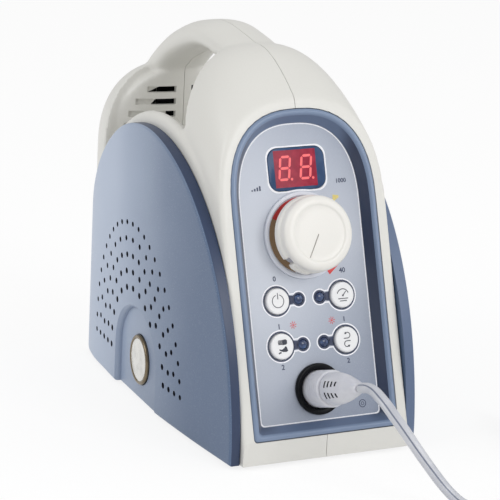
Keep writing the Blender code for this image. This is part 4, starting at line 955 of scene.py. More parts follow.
@dataclass
class Repeater:
    """A Geometry Nodes tree that sets a small form on each point of a mesh."""

    form: Repeat
    sides: int = 12

    def tree(self) -> bpy.types.GeometryNodeTree:
        """Build the tree with its named inputs.

        Returns:
            The tree.
        """
        group = bpy.data.node_groups.new(f"repeat_{self.form.value}", "GeometryNodeTree")
        for name, kind, way in (("Geometry", "Geometry", "INPUT"), ("Size", "Vector", "INPUT"),
                                ("Material", "Material", "INPUT"), ("Geometry", "Geometry", "OUTPUT")):
            group.interface.new_socket(name, in_out=way, socket_type="NodeSocket" + kind)
        shape = "MeshCylinder" if self.form is Repeat.PIN else "MeshCube"
        nodes = {key: group.nodes.new(kind) for key, kind in (
            ("source", "NodeGroupInput"), ("result", "NodeGroupOutput"), ("form", "GeometryNode" + shape),
            ("turn", "GeometryNodeInputNamedAttribute"), ("share", "GeometryNodeInputNamedAttribute"),
            ("rotation", "FunctionNodeEulerToRotation"), ("scale", "ShaderNodeVectorMath"),
            ("place", "GeometryNodeInstanceOnPoints"), ("solid", "GeometryNodeRealizeInstances"),
            ("dress", "GeometryNodeSetMaterial"))}
        if self.form is Repeat.PIN:
            for key, value in (("Vertices", self.sides), ("Radius", 0.5), ("Depth", 1.0)):
                nodes["form"].inputs[key].default_value = value
        for key in ("turn", "share"):
            nodes[key].data_type = "FLOAT_VECTOR"
            nodes[key].inputs["Name"].default_value = key
        nodes["scale"].operation = "MULTIPLY"
        for start, out, end, into in (
                ("turn", 0, "rotation", 0), ("source", "Size", "scale", 0), ("share", 0, "scale", 1),
                ("source", "Geometry", "place", "Points"), ("form", "Mesh", "place", "Instance"),
                ("rotation", 0, "place", "Rotation"), ("scale", 0, "place", "Scale"),
                ("place", "Instances", "solid", 0), ("solid", 0, "dress", "Geometry"),
                ("source", "Material", "dress", "Material"), ("dress", "Geometry", "result", "Geometry")):
            group.links.new(nodes[start].outputs[out], nodes[end].inputs[into])
        return group

    def make(self, name: str, spots: Sequence[tuple[Matrix, Point3]], size: Point3, finish: Finish) -> Item:
        """Set the form on each spot.

        Args:
            name: Name of the result.
            spots: A matrix and a share of the size for each form.
            size: Full size of the form.
            finish: Finish of the form.

        Returns:
            An object with a plain mesh.
        """
        mesh = bpy.data.meshes.new(name)
        mesh.from_pydata([spot.translation for spot, _ in spots], [], [])
        layers = {"turn": [tuple(spot.to_euler()) for spot, _ in spots],
                  "share": [share for _, share in spots]}
        for key, rows in layers.items():
            layer = mesh.attributes.new(key, "FLOAT_VECTOR", "POINT")
            for slot, row in zip(layer.data, rows):
                slot.vector = row
        item = Maker.link(name, mesh)
        modifier = item.modifiers.new("repeat", "NODES")
        modifier.node_group = group = self.tree()
        keys = {s.name: s.identifier for s in group.interface.items_tree if s.in_out == "INPUT"}
        modifier[keys["Size"]], modifier[keys["Material"]] = size, finish.material()
        Maker.bake(item)
        for key in layers:
            if key in item.data.attributes:
                item.data.attributes.remove(item.data.attributes[key])
        bpy.data.node_groups.remove(group)
        return item


class Stencil:
    """Collects thin printed shapes on a plane, each a closed solid."""

    def __init__(self, name: str, low: float, high: float, place: Matrix) -> None:
        """Start a print of a name, between two heights over a plane."""
        self.name, self.low, self.high, self.place = name, low, high, place
        self.bm = bmesh.new()

    def slab(self, rows: Sequence[Sequence[Point2]], closed: bool = False) -> None:
        """A strip of quads between two rows of points, made solid.

        Args:
            rows: The two rows.
            closed: True to join their ends.
        """
        count, face = len(rows[0]), self.bm.faces.new
        (a, b), (c, d) = [[[self.bm.verts.new((u, v, out)) for u, v in row] for row in rows]
                          for out in (self.low, self.high)]
        for k in range(count if closed else count - 1):
            n = (k + 1) % count
            for corners in ((a[k], a[n], b[n], b[k]), (d[k], d[n], c[n], c[k]), (a[n], a[k], c[k], c[n]),
                            (b[k], b[n], d[n], d[k])):
                face(corners)
        if not closed:
            face((a[0], b[0], d[0], c[0]))
            face((a[-1], c[-1], d[-1], b[-1]))

    def stroke(self, points: Sequence[Point2], width: float) -> None:
        """A line of a width along points.

        Args:
            points: Its course.
            width: Its width.
        """
        path = [Vector(p) for p in points]
        left, right = [], []
        for k, point in enumerate(path):
            first, second = point - path[max(k - 1, 0)], path[min(k + 1, len(path) - 1)] - point
            way = (first.normalized() + second.normalized()).normalized()
            side, square = Vector((-way.y, way.x)), Vector((-second.y, second.x))
            lean = max(abs(side.dot(square.normalized())) if second.length else 1, 0.5)
            left.append(tuple(point + side * width / 2 / lean))
            right.append(tuple(point - side * width / 2 / lean))
        self.slab((left, right))

    def ring(self, radius: float, width: float, centre: Point2 = (0.0, 0.0), first: float = 0.0,
             last: float = 360.0, steps: int = 48) -> None:
        """A ring, or an arc of it between two angles in degrees, of a width about its radius."""
        rows = [circle(radius + side * width / 2, steps, centre, radians(first), radians(last))
                for side in (-1, 1)]
        self.slab(rows, closed=abs(last - first - 360) < 1e-6)

    def area(self, points: Sequence[Point2]) -> None:
        """A filled outline.

        Args:
            points: The outline, anticlockwise.
        """
        low, high = [[self.bm.verts.new((u, v, out)) for u, v in points] for out in (self.low, self.high)]
        self.bm.faces.new(list(reversed(low)))
        self.bm.faces.new(high)
        for k in range(len(points)):
            n = (k + 1) % len(points)
            self.bm.faces.new((low[k], low[n], high[n], high[k]))

    def disc(self, radius: float, centre: Point2 = (0.0, 0.0), steps: int = 32) -> None:
        """A filled circle."""
        self.area(circle(radius, steps, centre))

    def number(self, text: str, height: float, centre: Point2, bold: float = 0.0) -> None:
        """Plain figures, centred on a point.

        Args:
            text: The figures.
            height: Height of a figure.
            centre: Their middle.
            bold: Extra width of the strokes.
        """
        curve = bpy.data.curves.new(self.name + "_figures", "FONT")
        curve.body, curve.size, curve.offset, curve.resolution_u = text, height / 0.72, bold, 3
        curve.align_x, curve.align_y = "CENTER", "CENTER"
        item = Maker.link(curve.name, curve)
        mesh = Maker.evaluated(item)
        flat = bmesh.new()
        flat.from_mesh(mesh)
        bmesh.ops.remove_doubles(flat, verts=flat.verts, dist=1e-7)
        mid = [(min(v.co[i] for v in flat.verts) + max(v.co[i] for v in flat.verts)) / 2 for i in (0, 1)]
        flat.transform(at(centre[0] - mid[0], centre[1] - mid[1], self.low))
        made = bmesh.ops.extrude_face_region(flat, geom=flat.faces[:])
        tops = [v for v in made["geom"] if isinstance(v, bmesh.types.BMVert)]
        bmesh.ops.translate(flat, verts=tops, vec=(0, 0, self.high - self.low))
        flat.to_mesh(mesh)
        flat.free()
        self.bm.from_mesh(mesh)
        bpy.data.objects.remove(item, do_unlink=True)

    def deliver(self, finish: Finish, body: str = "unit") -> None:
        """Put the print in place, in its ink."""
        Maker.deliver(Maker.shade(Maker.wrap(self.name, self.bm, self.place), 25), finish, body)


# ---- studio


@dataclass
class Studio:
    """Camera, floor, backdrop and soft lights."""

    azimuth: float = 27.7
    elevation: float = 15.6
    roll: float = 2.65
    distance: float = 1.5
    target: Point3 = (-0.0185, -0.051822, 0.0984)
    lens: float = 206.7
    sensor: float = 36.0
    floor_size: float = 6.0
    floor_lit: float = 0.8
    floor_glow: float = 1.04
    world_level: float = 0.62
    lamp_aim: Point3 = (0, 0, 0.1)

    def camera(self) -> None:
        """Set up the camera at the photograph's angle."""
        az, el, roll = radians(self.azimuth), radians(self.elevation), radians(self.roll)
        back = Vector((-sin(az) * cos(el), -cos(az) * cos(el), sin(el)))
        right = Vector((cos(az), -sin(az), 0))
        up = back.cross(right)
        turn = Matrix((right * cos(roll) + up * sin(roll), up * cos(roll) - right * sin(roll), back))
        data = bpy.data.cameras.new("studio_camera")
        data.sensor_width, data.lens, data.clip_start, data.clip_end = self.sensor, self.lens, 0.05, 50.0
        place = Matrix.Translation(Vector(self.target) + back * self.distance)
        bpy.context.scene.camera = Maker.link(data.name, data, place @ turn.transposed().to_4x4())

    def white_to_camera(self, tree: ShaderTree) -> Wire:
        """Tell camera, mirror and glass rays from the others.

        Args:
            tree: The material's tree.

        Returns:
            One for these rays, nought for the others.
        """
        path = tree.add("LightPath")
        rays = [Wire(tree, path.socket.node.outputs[f"Is {key} Ray"]) for key in
                ("Camera", "Glossy", "Transmission")]
        return path.maths("MAXIMUM", path.maths("MAXIMUM", rays[0], rays[1]), rays[2])

    def floor(self) -> None:
        """A pale floor that keeps the object's shadow and reads white."""
        half = self.floor_size / 2
        mesh = bpy.data.meshes.new("studio_floor")
        mesh.from_pydata([(-half, -half, 0), (half, -half, 0), (half, half, 0), (-half, half, 0)], [],
                         [(0, 1, 2, 3)])
        item = Maker.link("studio_floor", mesh)
        tree = ShaderTree("studio_floor")
        diffuse = tree.add("BsdfDiffuse", sockets={"Color": (0.88, 0.88, 0.88, 1)})
        glow = tree.add("Emission", sockets={"Color": (1, 1, 1, 1), "Strength": self.floor_glow})
        share = self.white_to_camera(tree) * self.floor_lit
        mixed = tree.add("MixShader", sockets={0: share, 1: diffuse, 2: glow})
        tree.put(tree.tree.nodes["Material Output"].inputs["Surface"], mixed)
        item.data.materials.append(tree.material)

    def world(self) -> None:
        """A white world: full white to the camera, a plain level to the object."""
        world = bpy.data.worlds.new("studio_world")
        world.use_nodes = True
        bpy.context.scene.world = world
        tree = world.node_tree
        path, level = (tree.nodes.new("ShaderNode" + kind) for kind in ("LightPath", "MapRange"))
        shade = tree.nodes["Background"].inputs
        shade["Color"].default_value = (1, 1, 1, 1)
        level.inputs["To Min"].default_value, level.inputs["To Max"].default_value = self.world_level, 1.0
        tree.links.new(path.outputs["Is Camera Ray"], level.inputs["Value"])
        tree.links.new(level.outputs["Result"], shade["Strength"])

    def lamp(self, name: str, place: Point3, size: float, power: float) -> None:
        """A square area lamp that points at the object.

        Args:
            name: Its name.
            place: Where it stands.
            size: Side of the lamp.
            power: Watts.
        """
        data = bpy.data.lights.new(name, "AREA")
        data.shape, data.size, data.energy = "SQUARE", size, power
        turn = (Vector(self.lamp_aim) - Vector(place)).to_track_quat("-Z", "Y").to_matrix().to_4x4()
        Maker.link(name, data, at(*place) @ turn)

    def build(self) -> None:
        """Set up the whole studio."""
        bpy.context.scene.view_settings.view_transform = "Standard"
        self.camera()
        self.floor()
        self.world()
        self.lamp("front_key", (0.45, -1.55, 0.95), 0.75, 8.5)
        self.lamp("left_fill", (-1.5, 0.1, 1.1), 1.0, 7.5)
        self.lamp("right_rim", (1.5, -0.9, 0.9), 1.2, 4.5)
        self.lamp("top_light", (0.1, 0.4, 1.9), 1.3, 1.0)


# ---- lead


def tenths(*points: Point3) -> list[Point3]:
    """Places that are given in tenths of a millimetre, in metres."""
    return [tuple(v / 10000 for v in point) for point in points]


MOTOR_ROUTE = tenths(
    (0, -325, 476), (0, -385, 495), (2, -446, 497), (5, -505, 481), (12, -567, 454),
    (23, -625, 418), (46, -685, 365), (75, -735, 305), (108, -775, 245), (145, -808, 185),
    (185, -838, 125), (225, -872, 73), (265, -915, 34), (312, -963, 16), (349, -1003, 12),
    (380, -1046, 12), (403, -1094, 12), (416, -1143, 12), (420, -1191, 12), (420, -1225, 12),
)
HAND_ROUTE = tenths(
    (1280, -1225, 81), (1280, -1191, 81), (1278, -1150, 83), (1270, -1105, 89), (1257, -1060, 97),
    (1243, -1015, 105), (1230, -970, 111), (1222, -930, 113), (1220, -880, 113), (1220, -780, 113),
)


@dataclass
class Lead:
    """The lead as one tube, from the plug's relief through the stored coil to the handpiece."""

    diameter: float = 0.0063
    thickness: float = 0.0053
    groove: float = 0.16
    groove_lean: float = pi / 4
    coil_centre: Point2 = (0.085, -0.132)
    coil_radius: float = 0.043
    coil_pitch: float = 0.0069
    coil_turns: float = 5.5
    loop_points: int = 24
    step: float = 0.0024
    ring_points: int = 20
    free_rings: int = 12
    settle: float = 0.06

    def coil(self) -> list[Point3]:
        """Centreline of the coil, in on the lower layer and out on the upper one.

        Returns:
            Points in the body frame.
        """
        ground = self.diameter / 2 - 0.002
        middle = self.coil_turns / 2
        inner = self.coil_radius - self.coil_pitch * middle
        count = round(self.coil_turns * self.loop_points)
        points = []
        for k in range(count + 1):
            turns = self.coil_turns * k / count
            radius = inner + self.coil_pitch * abs(turns - middle)
            height = ground + self.coil_pitch * smoothstep((turns - middle + 0.25) / 0.5)
            angle = pi + 2 * pi * turns
            points.append((self.coil_centre[0] + radius * cos(angle),
                           self.coil_centre[1] + radius * sin(angle), height))
        return points

    def fine(self, points: Sequence[Vector]) -> list[Vector]:
        """Even points on a smooth curve through the route.

        Args:
            points: The route.

        Returns:
            Points a step apart.
        """
        curve: list[Vector] = []
        for k in range(len(points) - 1):
            p0, p1, p2 = points[max(k - 1, 0)], points[k], points[k + 1]
            p3 = points[min(k + 2, len(points) - 1)]
            for j in range(10):
                t = j / 10
                curve.append(0.5 * (2 * p1 + (p2 - p0) * t + (2 * p0 - 5 * p1 + 4 * p2 - p3) * t**2
                                    + (3 * p1 - p0 - 3 * p2 + p3) * t**3))
        curve.append(points[-1])
        lengths = [0.0]
        for a, b in zip(curve, curve[1:]):
            lengths.append(lengths[-1] + (b - a).length)
        count = round(lengths[-1] / self.step)
        even, j = [], 0
        for k in range(count + 1):
            want = lengths[-1] * k / count
            while j < len(lengths) - 2 and lengths[j + 1] < want:
                j += 1
            share = (want - lengths[j]) / max(lengths[j + 1] - lengths[j], 1e-9)
            even.append(curve[j].lerp(curve[j + 1], min(share, 1)))
        return even

    def section(self) -> list[Point2]:
        """Flattened section with a groove along two opposite sides.

        Returns:
            Points (across, up).
        """
        points = []
        for turn in angles(self.ring_points):
            dent = 1 - self.groove * exp(-((cos(turn + self.groove_lean) / 0.3) ** 2))
            points.append((self.diameter / 2 * cos(turn) * dent, self.thickness / 2 * sin(turn) * dent))
        return points

    def build(self, carried: Sequence[Item]) -> Item:
        """Args:
            carried: The separate pieces on the lead; not used.

        Returns:
            The lead.
        """
        route = [BODY @ Vector(p) for p in (*MOTOR_ROUTE, *self.coil(), *HAND_ROUTE)]
        line = self.fine(route)
        across = Vector((1, 0, 0))
        rings = []
        for k, point in enumerate(line):
            way = (line[min(k + 1, len(line) - 1)] - line[max(k - 1, 0)]).normalized()
            across = (across - way * across.dot(way)).normalized()
            level = Vector((way.y, -way.x, 0))
            if level.length > 0.5 and k > self.free_rings:
                level = level.normalized() * (1 if level.dot(across) >= 0 else -1)
                across = across.lerp(level, self.settle).normalized()
            up = across.cross(way)
            rings.append([point + across * u + up * v for u, v in self.section()])
        lead = Maker.shade(Maker.loft("lead_and_coil", rings), 50)
        Maker.coat(lead, MILKY, GROOVE_SHADE)
        # Faces in the two grooves take the darker colour: painted shade.
        stripe = round(self.ring_points * (0.25 - self.groove_lean / (2 * pi)) - 0.5)
        for face in lead.data.polygons:
            if len(face.vertices) == 4 and face.index % (self.ring_points // 2) == stripe:
                face.material_index = 1
        Maker.deliver(lead, MILKY, replaces=("motor_cord", "cord_coil", "handpiece_cord"), coat=False)
        length = sum((b - a).length for a, b in zip(line, line[1:]))
        [tuple(p) for p in line[::2] + [line[-1]]]
        return lead


# ---- housing


@dataclass
class Form:
    """Sizes that the housing and the side pads share."""

    depth: float = 0.222
    half_width: float = 0.0484
    wall: float = 0.0025
    plan: Table = (
        (0.0, 1.0), (0.315, 1.0), (0.495, 0.984), (0.653, 0.959), (0.766, 0.926),
        (0.856, 0.893), (0.914, 0.857), (0.959, 0.785), (1.0, 0.66),
    )

    def width_at(self, y: float) -> float:
        """Half width of the housing at a depth behind the chin."""
        return self.half_width * smooth_value(self.plan, y / self.depth)


@dataclass
class Housing(Form):
    """The ivory housing with its hood, saddle, rear shell, louvres and carrying handle, in two halves."""

    spring: float = 0.125
    rise: float = 0.0615
    power: float = 2.5
    crease: float = 0.0012
    hood_depth: float = 0.042
    rim_half: float = 0.0465
    spring_lift: float = 0.025
    top_lift: float = 0.0335
    swell_power: float = 1.9
    saddle_front: float = 0.034
    saddle_back: float = 0.2
    crest_length: float = 0.117
    crest_centre: float = 0.115
    crest_top: float = 0.1585
    crest_round: float = 0.0045
    trough_front: float = 0.138
    trough_back: float = 0.124
    trough_half: float = 0.026
    trough_slope: Table = ((0.2, 0.1), (0.5, 0.5), (0.8, 0.9), (1.0, 1.0))
    rear_rim: float = 0.193
    rear_shares: Table = ((0.0, 1.0), (0.42, 0.98), (0.76, 0.94), (0.93, 0.895), (1.0, 0.86))
    rear_top: float = 0.17
    rear_spring: float = 0.118
    bulge: float = 0.01
    bulge_root: float = 0.001
    bulge_half: float = 0.038
    bulge_step: float = 0.004
    louvre_base: float = 0.1
    slot_rows: int = 4
    slot_top: float = 0.155
    slot_pitch: float = 0.007
    slot_height: float = 0.0034
    slot_inner: float = 0.0046
    slot_outer: float = 0.033
    blade_ends: Table = ((0.0205, 0.0125), (0.0185, 0.0150), (0.0100, 0.0095), (0.0080, 0.0080))
    handle_half: float = 0.0165
    handle_power: float = 2.6
    handle_peak: float = 0.2023
    handle_thick: float = 0.0155
    handle_shares: Table = (
        (0.351, 0.924, 0.945), (0.414, 0.966, 1.0), (0.477, 0.983, 1.0), (0.541, 0.994, 0.98),
        (0.586, 1.0, 0.98), (0.631, 0.9995, 1.0), (0.689, 0.989, 1.08), (0.743, 0.966, 1.1),
        (0.788, 0.942, 1.12), (0.833, 0.912, 1.25), (0.878, 0.875, 1.3), (0.919, 0.83, 1.2),
    )
    voxel: float = 0.0012

    def hood_ring(self, share: float, inset: float = 0.0, foot: float = -0.004,
                  steps: int = 26) -> list[Point3]:
        """One section of the hood, parallel to the panel.

        Args:
            share: How far from the panel's rim to the rear.
            inset: How far inside the skin.
            foot: Height of its feet.
            steps: Points on each quarter of the arch.

        Returns:
            Points in the panel's frame.
        """
        swell = 1 - (1 - share) ** self.swell_power
        crease = self.crease * max(0.0, 1 - share / 0.02) if not inset else 0.0
        half = self.half_width + (self.rim_half - self.half_width) * share - crease - inset
        spring = self.spring + self.spring_lift * swell
        top = self.spring + self.rise + self.top_lift * swell - crease - inset
        return [(u, v, -self.hood_depth * share)
                for u, v in arch(half, foot, spring, top - spring, self.power, steps)]

    def crest(self, y: float) -> float:
        """Height of the crest over a side pad."""
        return self.crest_top * sqrt(max(1 - ((y - self.crest_centre) / self.crest_length) ** 2, 0))

    def trough(self, y: float) -> float:
        """Height of the floor between the crests."""
        share = (y - self.saddle_front) / (self.saddle_back - self.saddle_front)
        level = self.trough_front + (self.trough_back - self.trough_front) * share
        return min(level, self.crest(y) - 0.006)

    def saddle_ring(self, y: float) -> list[Point3]:
        """One upright section between the hood and the rear shell.

        Args:
            y: Its depth behind the chin.

        Returns:
            Points in the body frame.
        """
        half = self.width_at(y) - GAP
        crest, level = self.crest(y), self.trough(y)
        ridge = half - self.crest_round
        right = [(half, -PAST)]
        for k in range(5):
            turn = pi / 2 * k / 4
            right.append((ridge + self.crest_round * cos(turn), crest - self.crest_round * (1 - sin(turn))))
        table = ((0.0, 0.0), *self.trough_slope)
        for run in spread(0.1, 1.0, 10):
            drop = smooth_value(table, run)
            right.append((ridge + (self.trough_half - ridge) * run, crest + (level - crest) * drop))
        return [(x, y, z) for x, z in right + [(-x, z) for x, z in reversed(right)]]

    def rear_ring(self, share: float, inset: float = 0.0, foot: float = -0.008,
                  steps: int = 24) -> list[Point3]:
        """One upright section of the rear shell.

        Args:
            share: How far from front to rear.
            inset: How far inside the skin.
            foot: Height of its feet.
            steps: Points on each quarter of the arch.

        Returns:
            Points in the body frame.
        """
        y = self.rear_rim + inset + (self.depth - self.rear_rim - 2 * inset) * share
        rise = self.rear_top * smooth_value(self.rear_shares, share) - self.rear_spring - inset
        outline = arch(self.width_at(y) - inset, foot, self.rear_spring, rise, self.power, steps)
        return [(x, y, z) for x, z in outline]

    def handle_ring(self, share: float) -> list[Point3]:
        """One oval section of the handle.

        Args:
            share: How far along the housing's depth.

        Returns:
            Points in the body frame.
        """
        top = self.handle_peak * smooth_value([row[:2] for row in self.handle_shares], share)
        half = self.handle_thick * smooth_value([row[::2] for row in self.handle_shares], share) / 2
        power = 2 / self.handle_power
        return [(self.handle_half * copysign(abs(cos(turn)) ** power, cos(turn)), self.depth * share,
                 top - half + half * copysign(abs(sin(turn)) ** power, sin(turn))) for turn in angles(36)]

    def bow(self, x: float) -> float:
        """Depth of the bulging wall that carries the louvres, at a distance from the middle."""
        share = 1 - (x / self.bulge_half) ** 2
        return self.rear_rim + self.bulge_root - (self.bulge + self.bulge_root) * share

    def louvre_plan(self, inset: float = 0.0, steps: int = 20) -> list[Point2]:
        """Plan of the bulging wall, moved in by an inset."""
        half, back = self.bulge_half - inset, self.rear_rim + 2 * self.wall
        wall = [half * (1 - 2 * k / steps) for k in range(steps + 1)]
        return [(x, self.bow(x) + inset) for x in wall] + [(-half, back), (half, back)]

    def louvre_trim(self, inset: float = 0.0) -> Item:
        """Arched block that bounds the louvred bulge, moved in by an inset."""
        rise = self.rear_top - self.rear_spring - self.bulge_step - inset
        outline = arch(self.bulge_half - inset, self.louvre_base, self.rear_spring, rise, self.power, 24)
        return Maker.prism("louvre_trim", outline, self.rear_rim - 0.02, self.rear_rim + 0.01, Axis.Y, BODY)

    def slot_end(self, up: float) -> float:
        """Outer end of a louvre slot, within the arch of the bulge."""
        rise = self.rear_top - self.rear_spring - self.bulge_step
        share = max(0.0, (up + self.slot_height - self.rear_spring) / rise)
        return min(self.slot_outer, self.bulge_half * (1 - share ** self.power) ** (1 / self.power) - 0.004)

    def baffles(self) -> None:
        """Blades just behind the slots that close all but their inner ends."""
        half = self.slot_height / 2 + GAP
        for row, ends in enumerate(self.blade_ends):
            up = self.slot_top - self.slot_pitch * row
            outer = self.slot_end(up) + 0.001
            for side in (-1, 1):
                rings = [[(side * x, self.bow(x) + inset, z) for inset, places in
                          ((0.0018, spread(outer, end, 8)), (0.0024, spread(end, outer, 8))) for x in places]
                         for z, end in zip((up - half, up + half), ends)]
                Maker.deliver(Maker.loft(f"louvre_blade_{row}_{side}", rings, BODY), IVORY)

    def outer(self) -> Item:
        """The outer skin of both halves, its forms melted together.

        Returns:
            The skin, a closed solid.
        """
        saddle = Maker.loft("housing_skin", [self.saddle_ring(y) for y in
                                             spread(self.saddle_front, self.saddle_back, 40)], BODY)
        shares = (0.0, 0.006, 0.012, 0.02, 0.035, 0.06, 0.1, 0.15, 0.2, 0.27, 0.36, 0.46, 0.56, 0.67, 0.78,
                  0.9, 1.0)
        hood = Maker.loft("hood_form", [self.hood_ring(s) for s in shares], PANEL)
        louvre = Maker.prism("louvre_form", self.louvre_plan(), self.louvre_base - PAST,
                             self.rear_top + PAST, place=BODY)
        Maker.combine(louvre, Mode.KEEP, self.louvre_trim())
        shares = (0, 0.1, 0.2, 0.3, 0.42, 0.55, 0.66, 0.76, 0.85, 0.93, 0.97, 1)
        rear = Maker.loft("rear_form", [self.rear_ring(s) for s in shares], BODY)
        handle = Maker.loft("handle_form", [self.handle_ring(s) for s in spread(0.351, 0.919, 46)], BODY)
        Maker.combine(saddle, Mode.JOIN, hood, louvre, rear, handle)
        melt, ease = saddle.modifiers.new("melt", "REMESH"), saddle.modifiers.new("ease", "SMOOTH")
        melt.mode, melt.voxel_size, melt.adaptivity = "VOXEL", self.voxel, 0.0
        ease.factor, ease.iterations = 0.5, 6
        return Maker.bake(saddle)

    def spaces(self) -> list[Item]:
        """The solids cut out of the right half.

        Returns:
            The cutters: cavities, panel hole, louvre slots and rear hole.
        """
        w = self.wall
        shares = (w / self.hood_depth, 0.3, 0.6, 1 - w / self.hood_depth)
        hood = Maker.loft("hood_space", [self.hood_ring(s, w, CHIN + w, 10) for s in shares], PANEL)
        chin = Maker.boxes("chin_space", [((-self.half_width + GAP + w, w, -0.012),
                                           (self.half_width - GAP - w, 0.052, CHIN + w / 2))], BODY)
        rows = []
        for y in spread(self.saddle_front + 0.013, self.saddle_back, 13):
            half, top = self.width_at(y) - GAP - w, self.trough(y) - w
            rows.append([(half, y, -0.016), (half, y, top), (-half, y, top), (-half, y, -0.016)])
        saddle = Maker.loft("saddle_space", rows, BODY)
        rear = Maker.loft("rear_space", [self.rear_ring(s, w, -0.02, 10) for s, _ in self.rear_shares], BODY)
        louvre = Maker.prism("louvre_space", self.louvre_plan(w, 8), self.louvre_base - PAST,
                             self.slot_top + self.slot_height, place=BODY)
        Maker.combine(louvre, Mode.KEEP, self.louvre_trim(w))
        front = Maker.prism("front_hole", PanelRim().outline(-GAP), -w - PAST, PAST, place=PANEL)
        depth, full = 2 * self.bulge + w, self.slot_outer - self.slot_inner
        spots = []
        for row in range(self.slot_rows):
            up = self.slot_top - self.slot_pitch * row
            outer = self.slot_end(up)
            for side in (-1, 1):
                spot = at(side * (self.slot_inner + outer) / 2, self.rear_rim + w - GAP - depth / 2, up)
                spots.append((BODY @ spot, ((outer - self.slot_inner) / full, 1.0, 1.0)))
        slots = Repeater(Repeat.BLOCK).make("louvre_slots", spots, (full, depth, self.slot_height), IVORY)
        hole = Maker.boxes("rear_hole", [((-0.024, self.depth - w - PAST, 0.0225),
                                          (0.024, self.depth + PAST, 0.0915))], BODY)
        # Cavity walls take the dark grey inside colour: painted shade.
        dark = [Maker.coat(item, INSIDE_SHADE) for item in (hood, chin, saddle, rear, louvre)]
        return dark + [Maker.coat(front, IVORY), slots, Maker.coat(hole, IVORY)]

    def build(self) -> None:
        """Make both halves."""
        skin, reach = Maker.coat(self.outer(), IVORY), 0.4
        keep = Maker.boxes("right_side", [((GAP / 2, 0.0, 0.0), (reach, reach, reach))], BODY)
        Maker.combine(skin, Mode.KEEP, Maker.coat(keep, IVORY))
        Maker.shade(Maker.combine(skin, Mode.CUT, *self.spaces()), 38)
        skin.name = "housing_shell_right"
        for item, side in ((skin, "right"), (Maker.mirror(skin, "housing_shell_left"), "left")):
            Maker.deliver(item, IVORY, replaces=(f"housing_{side}",), coat=False)
        self.baffles()


# ---- side pads


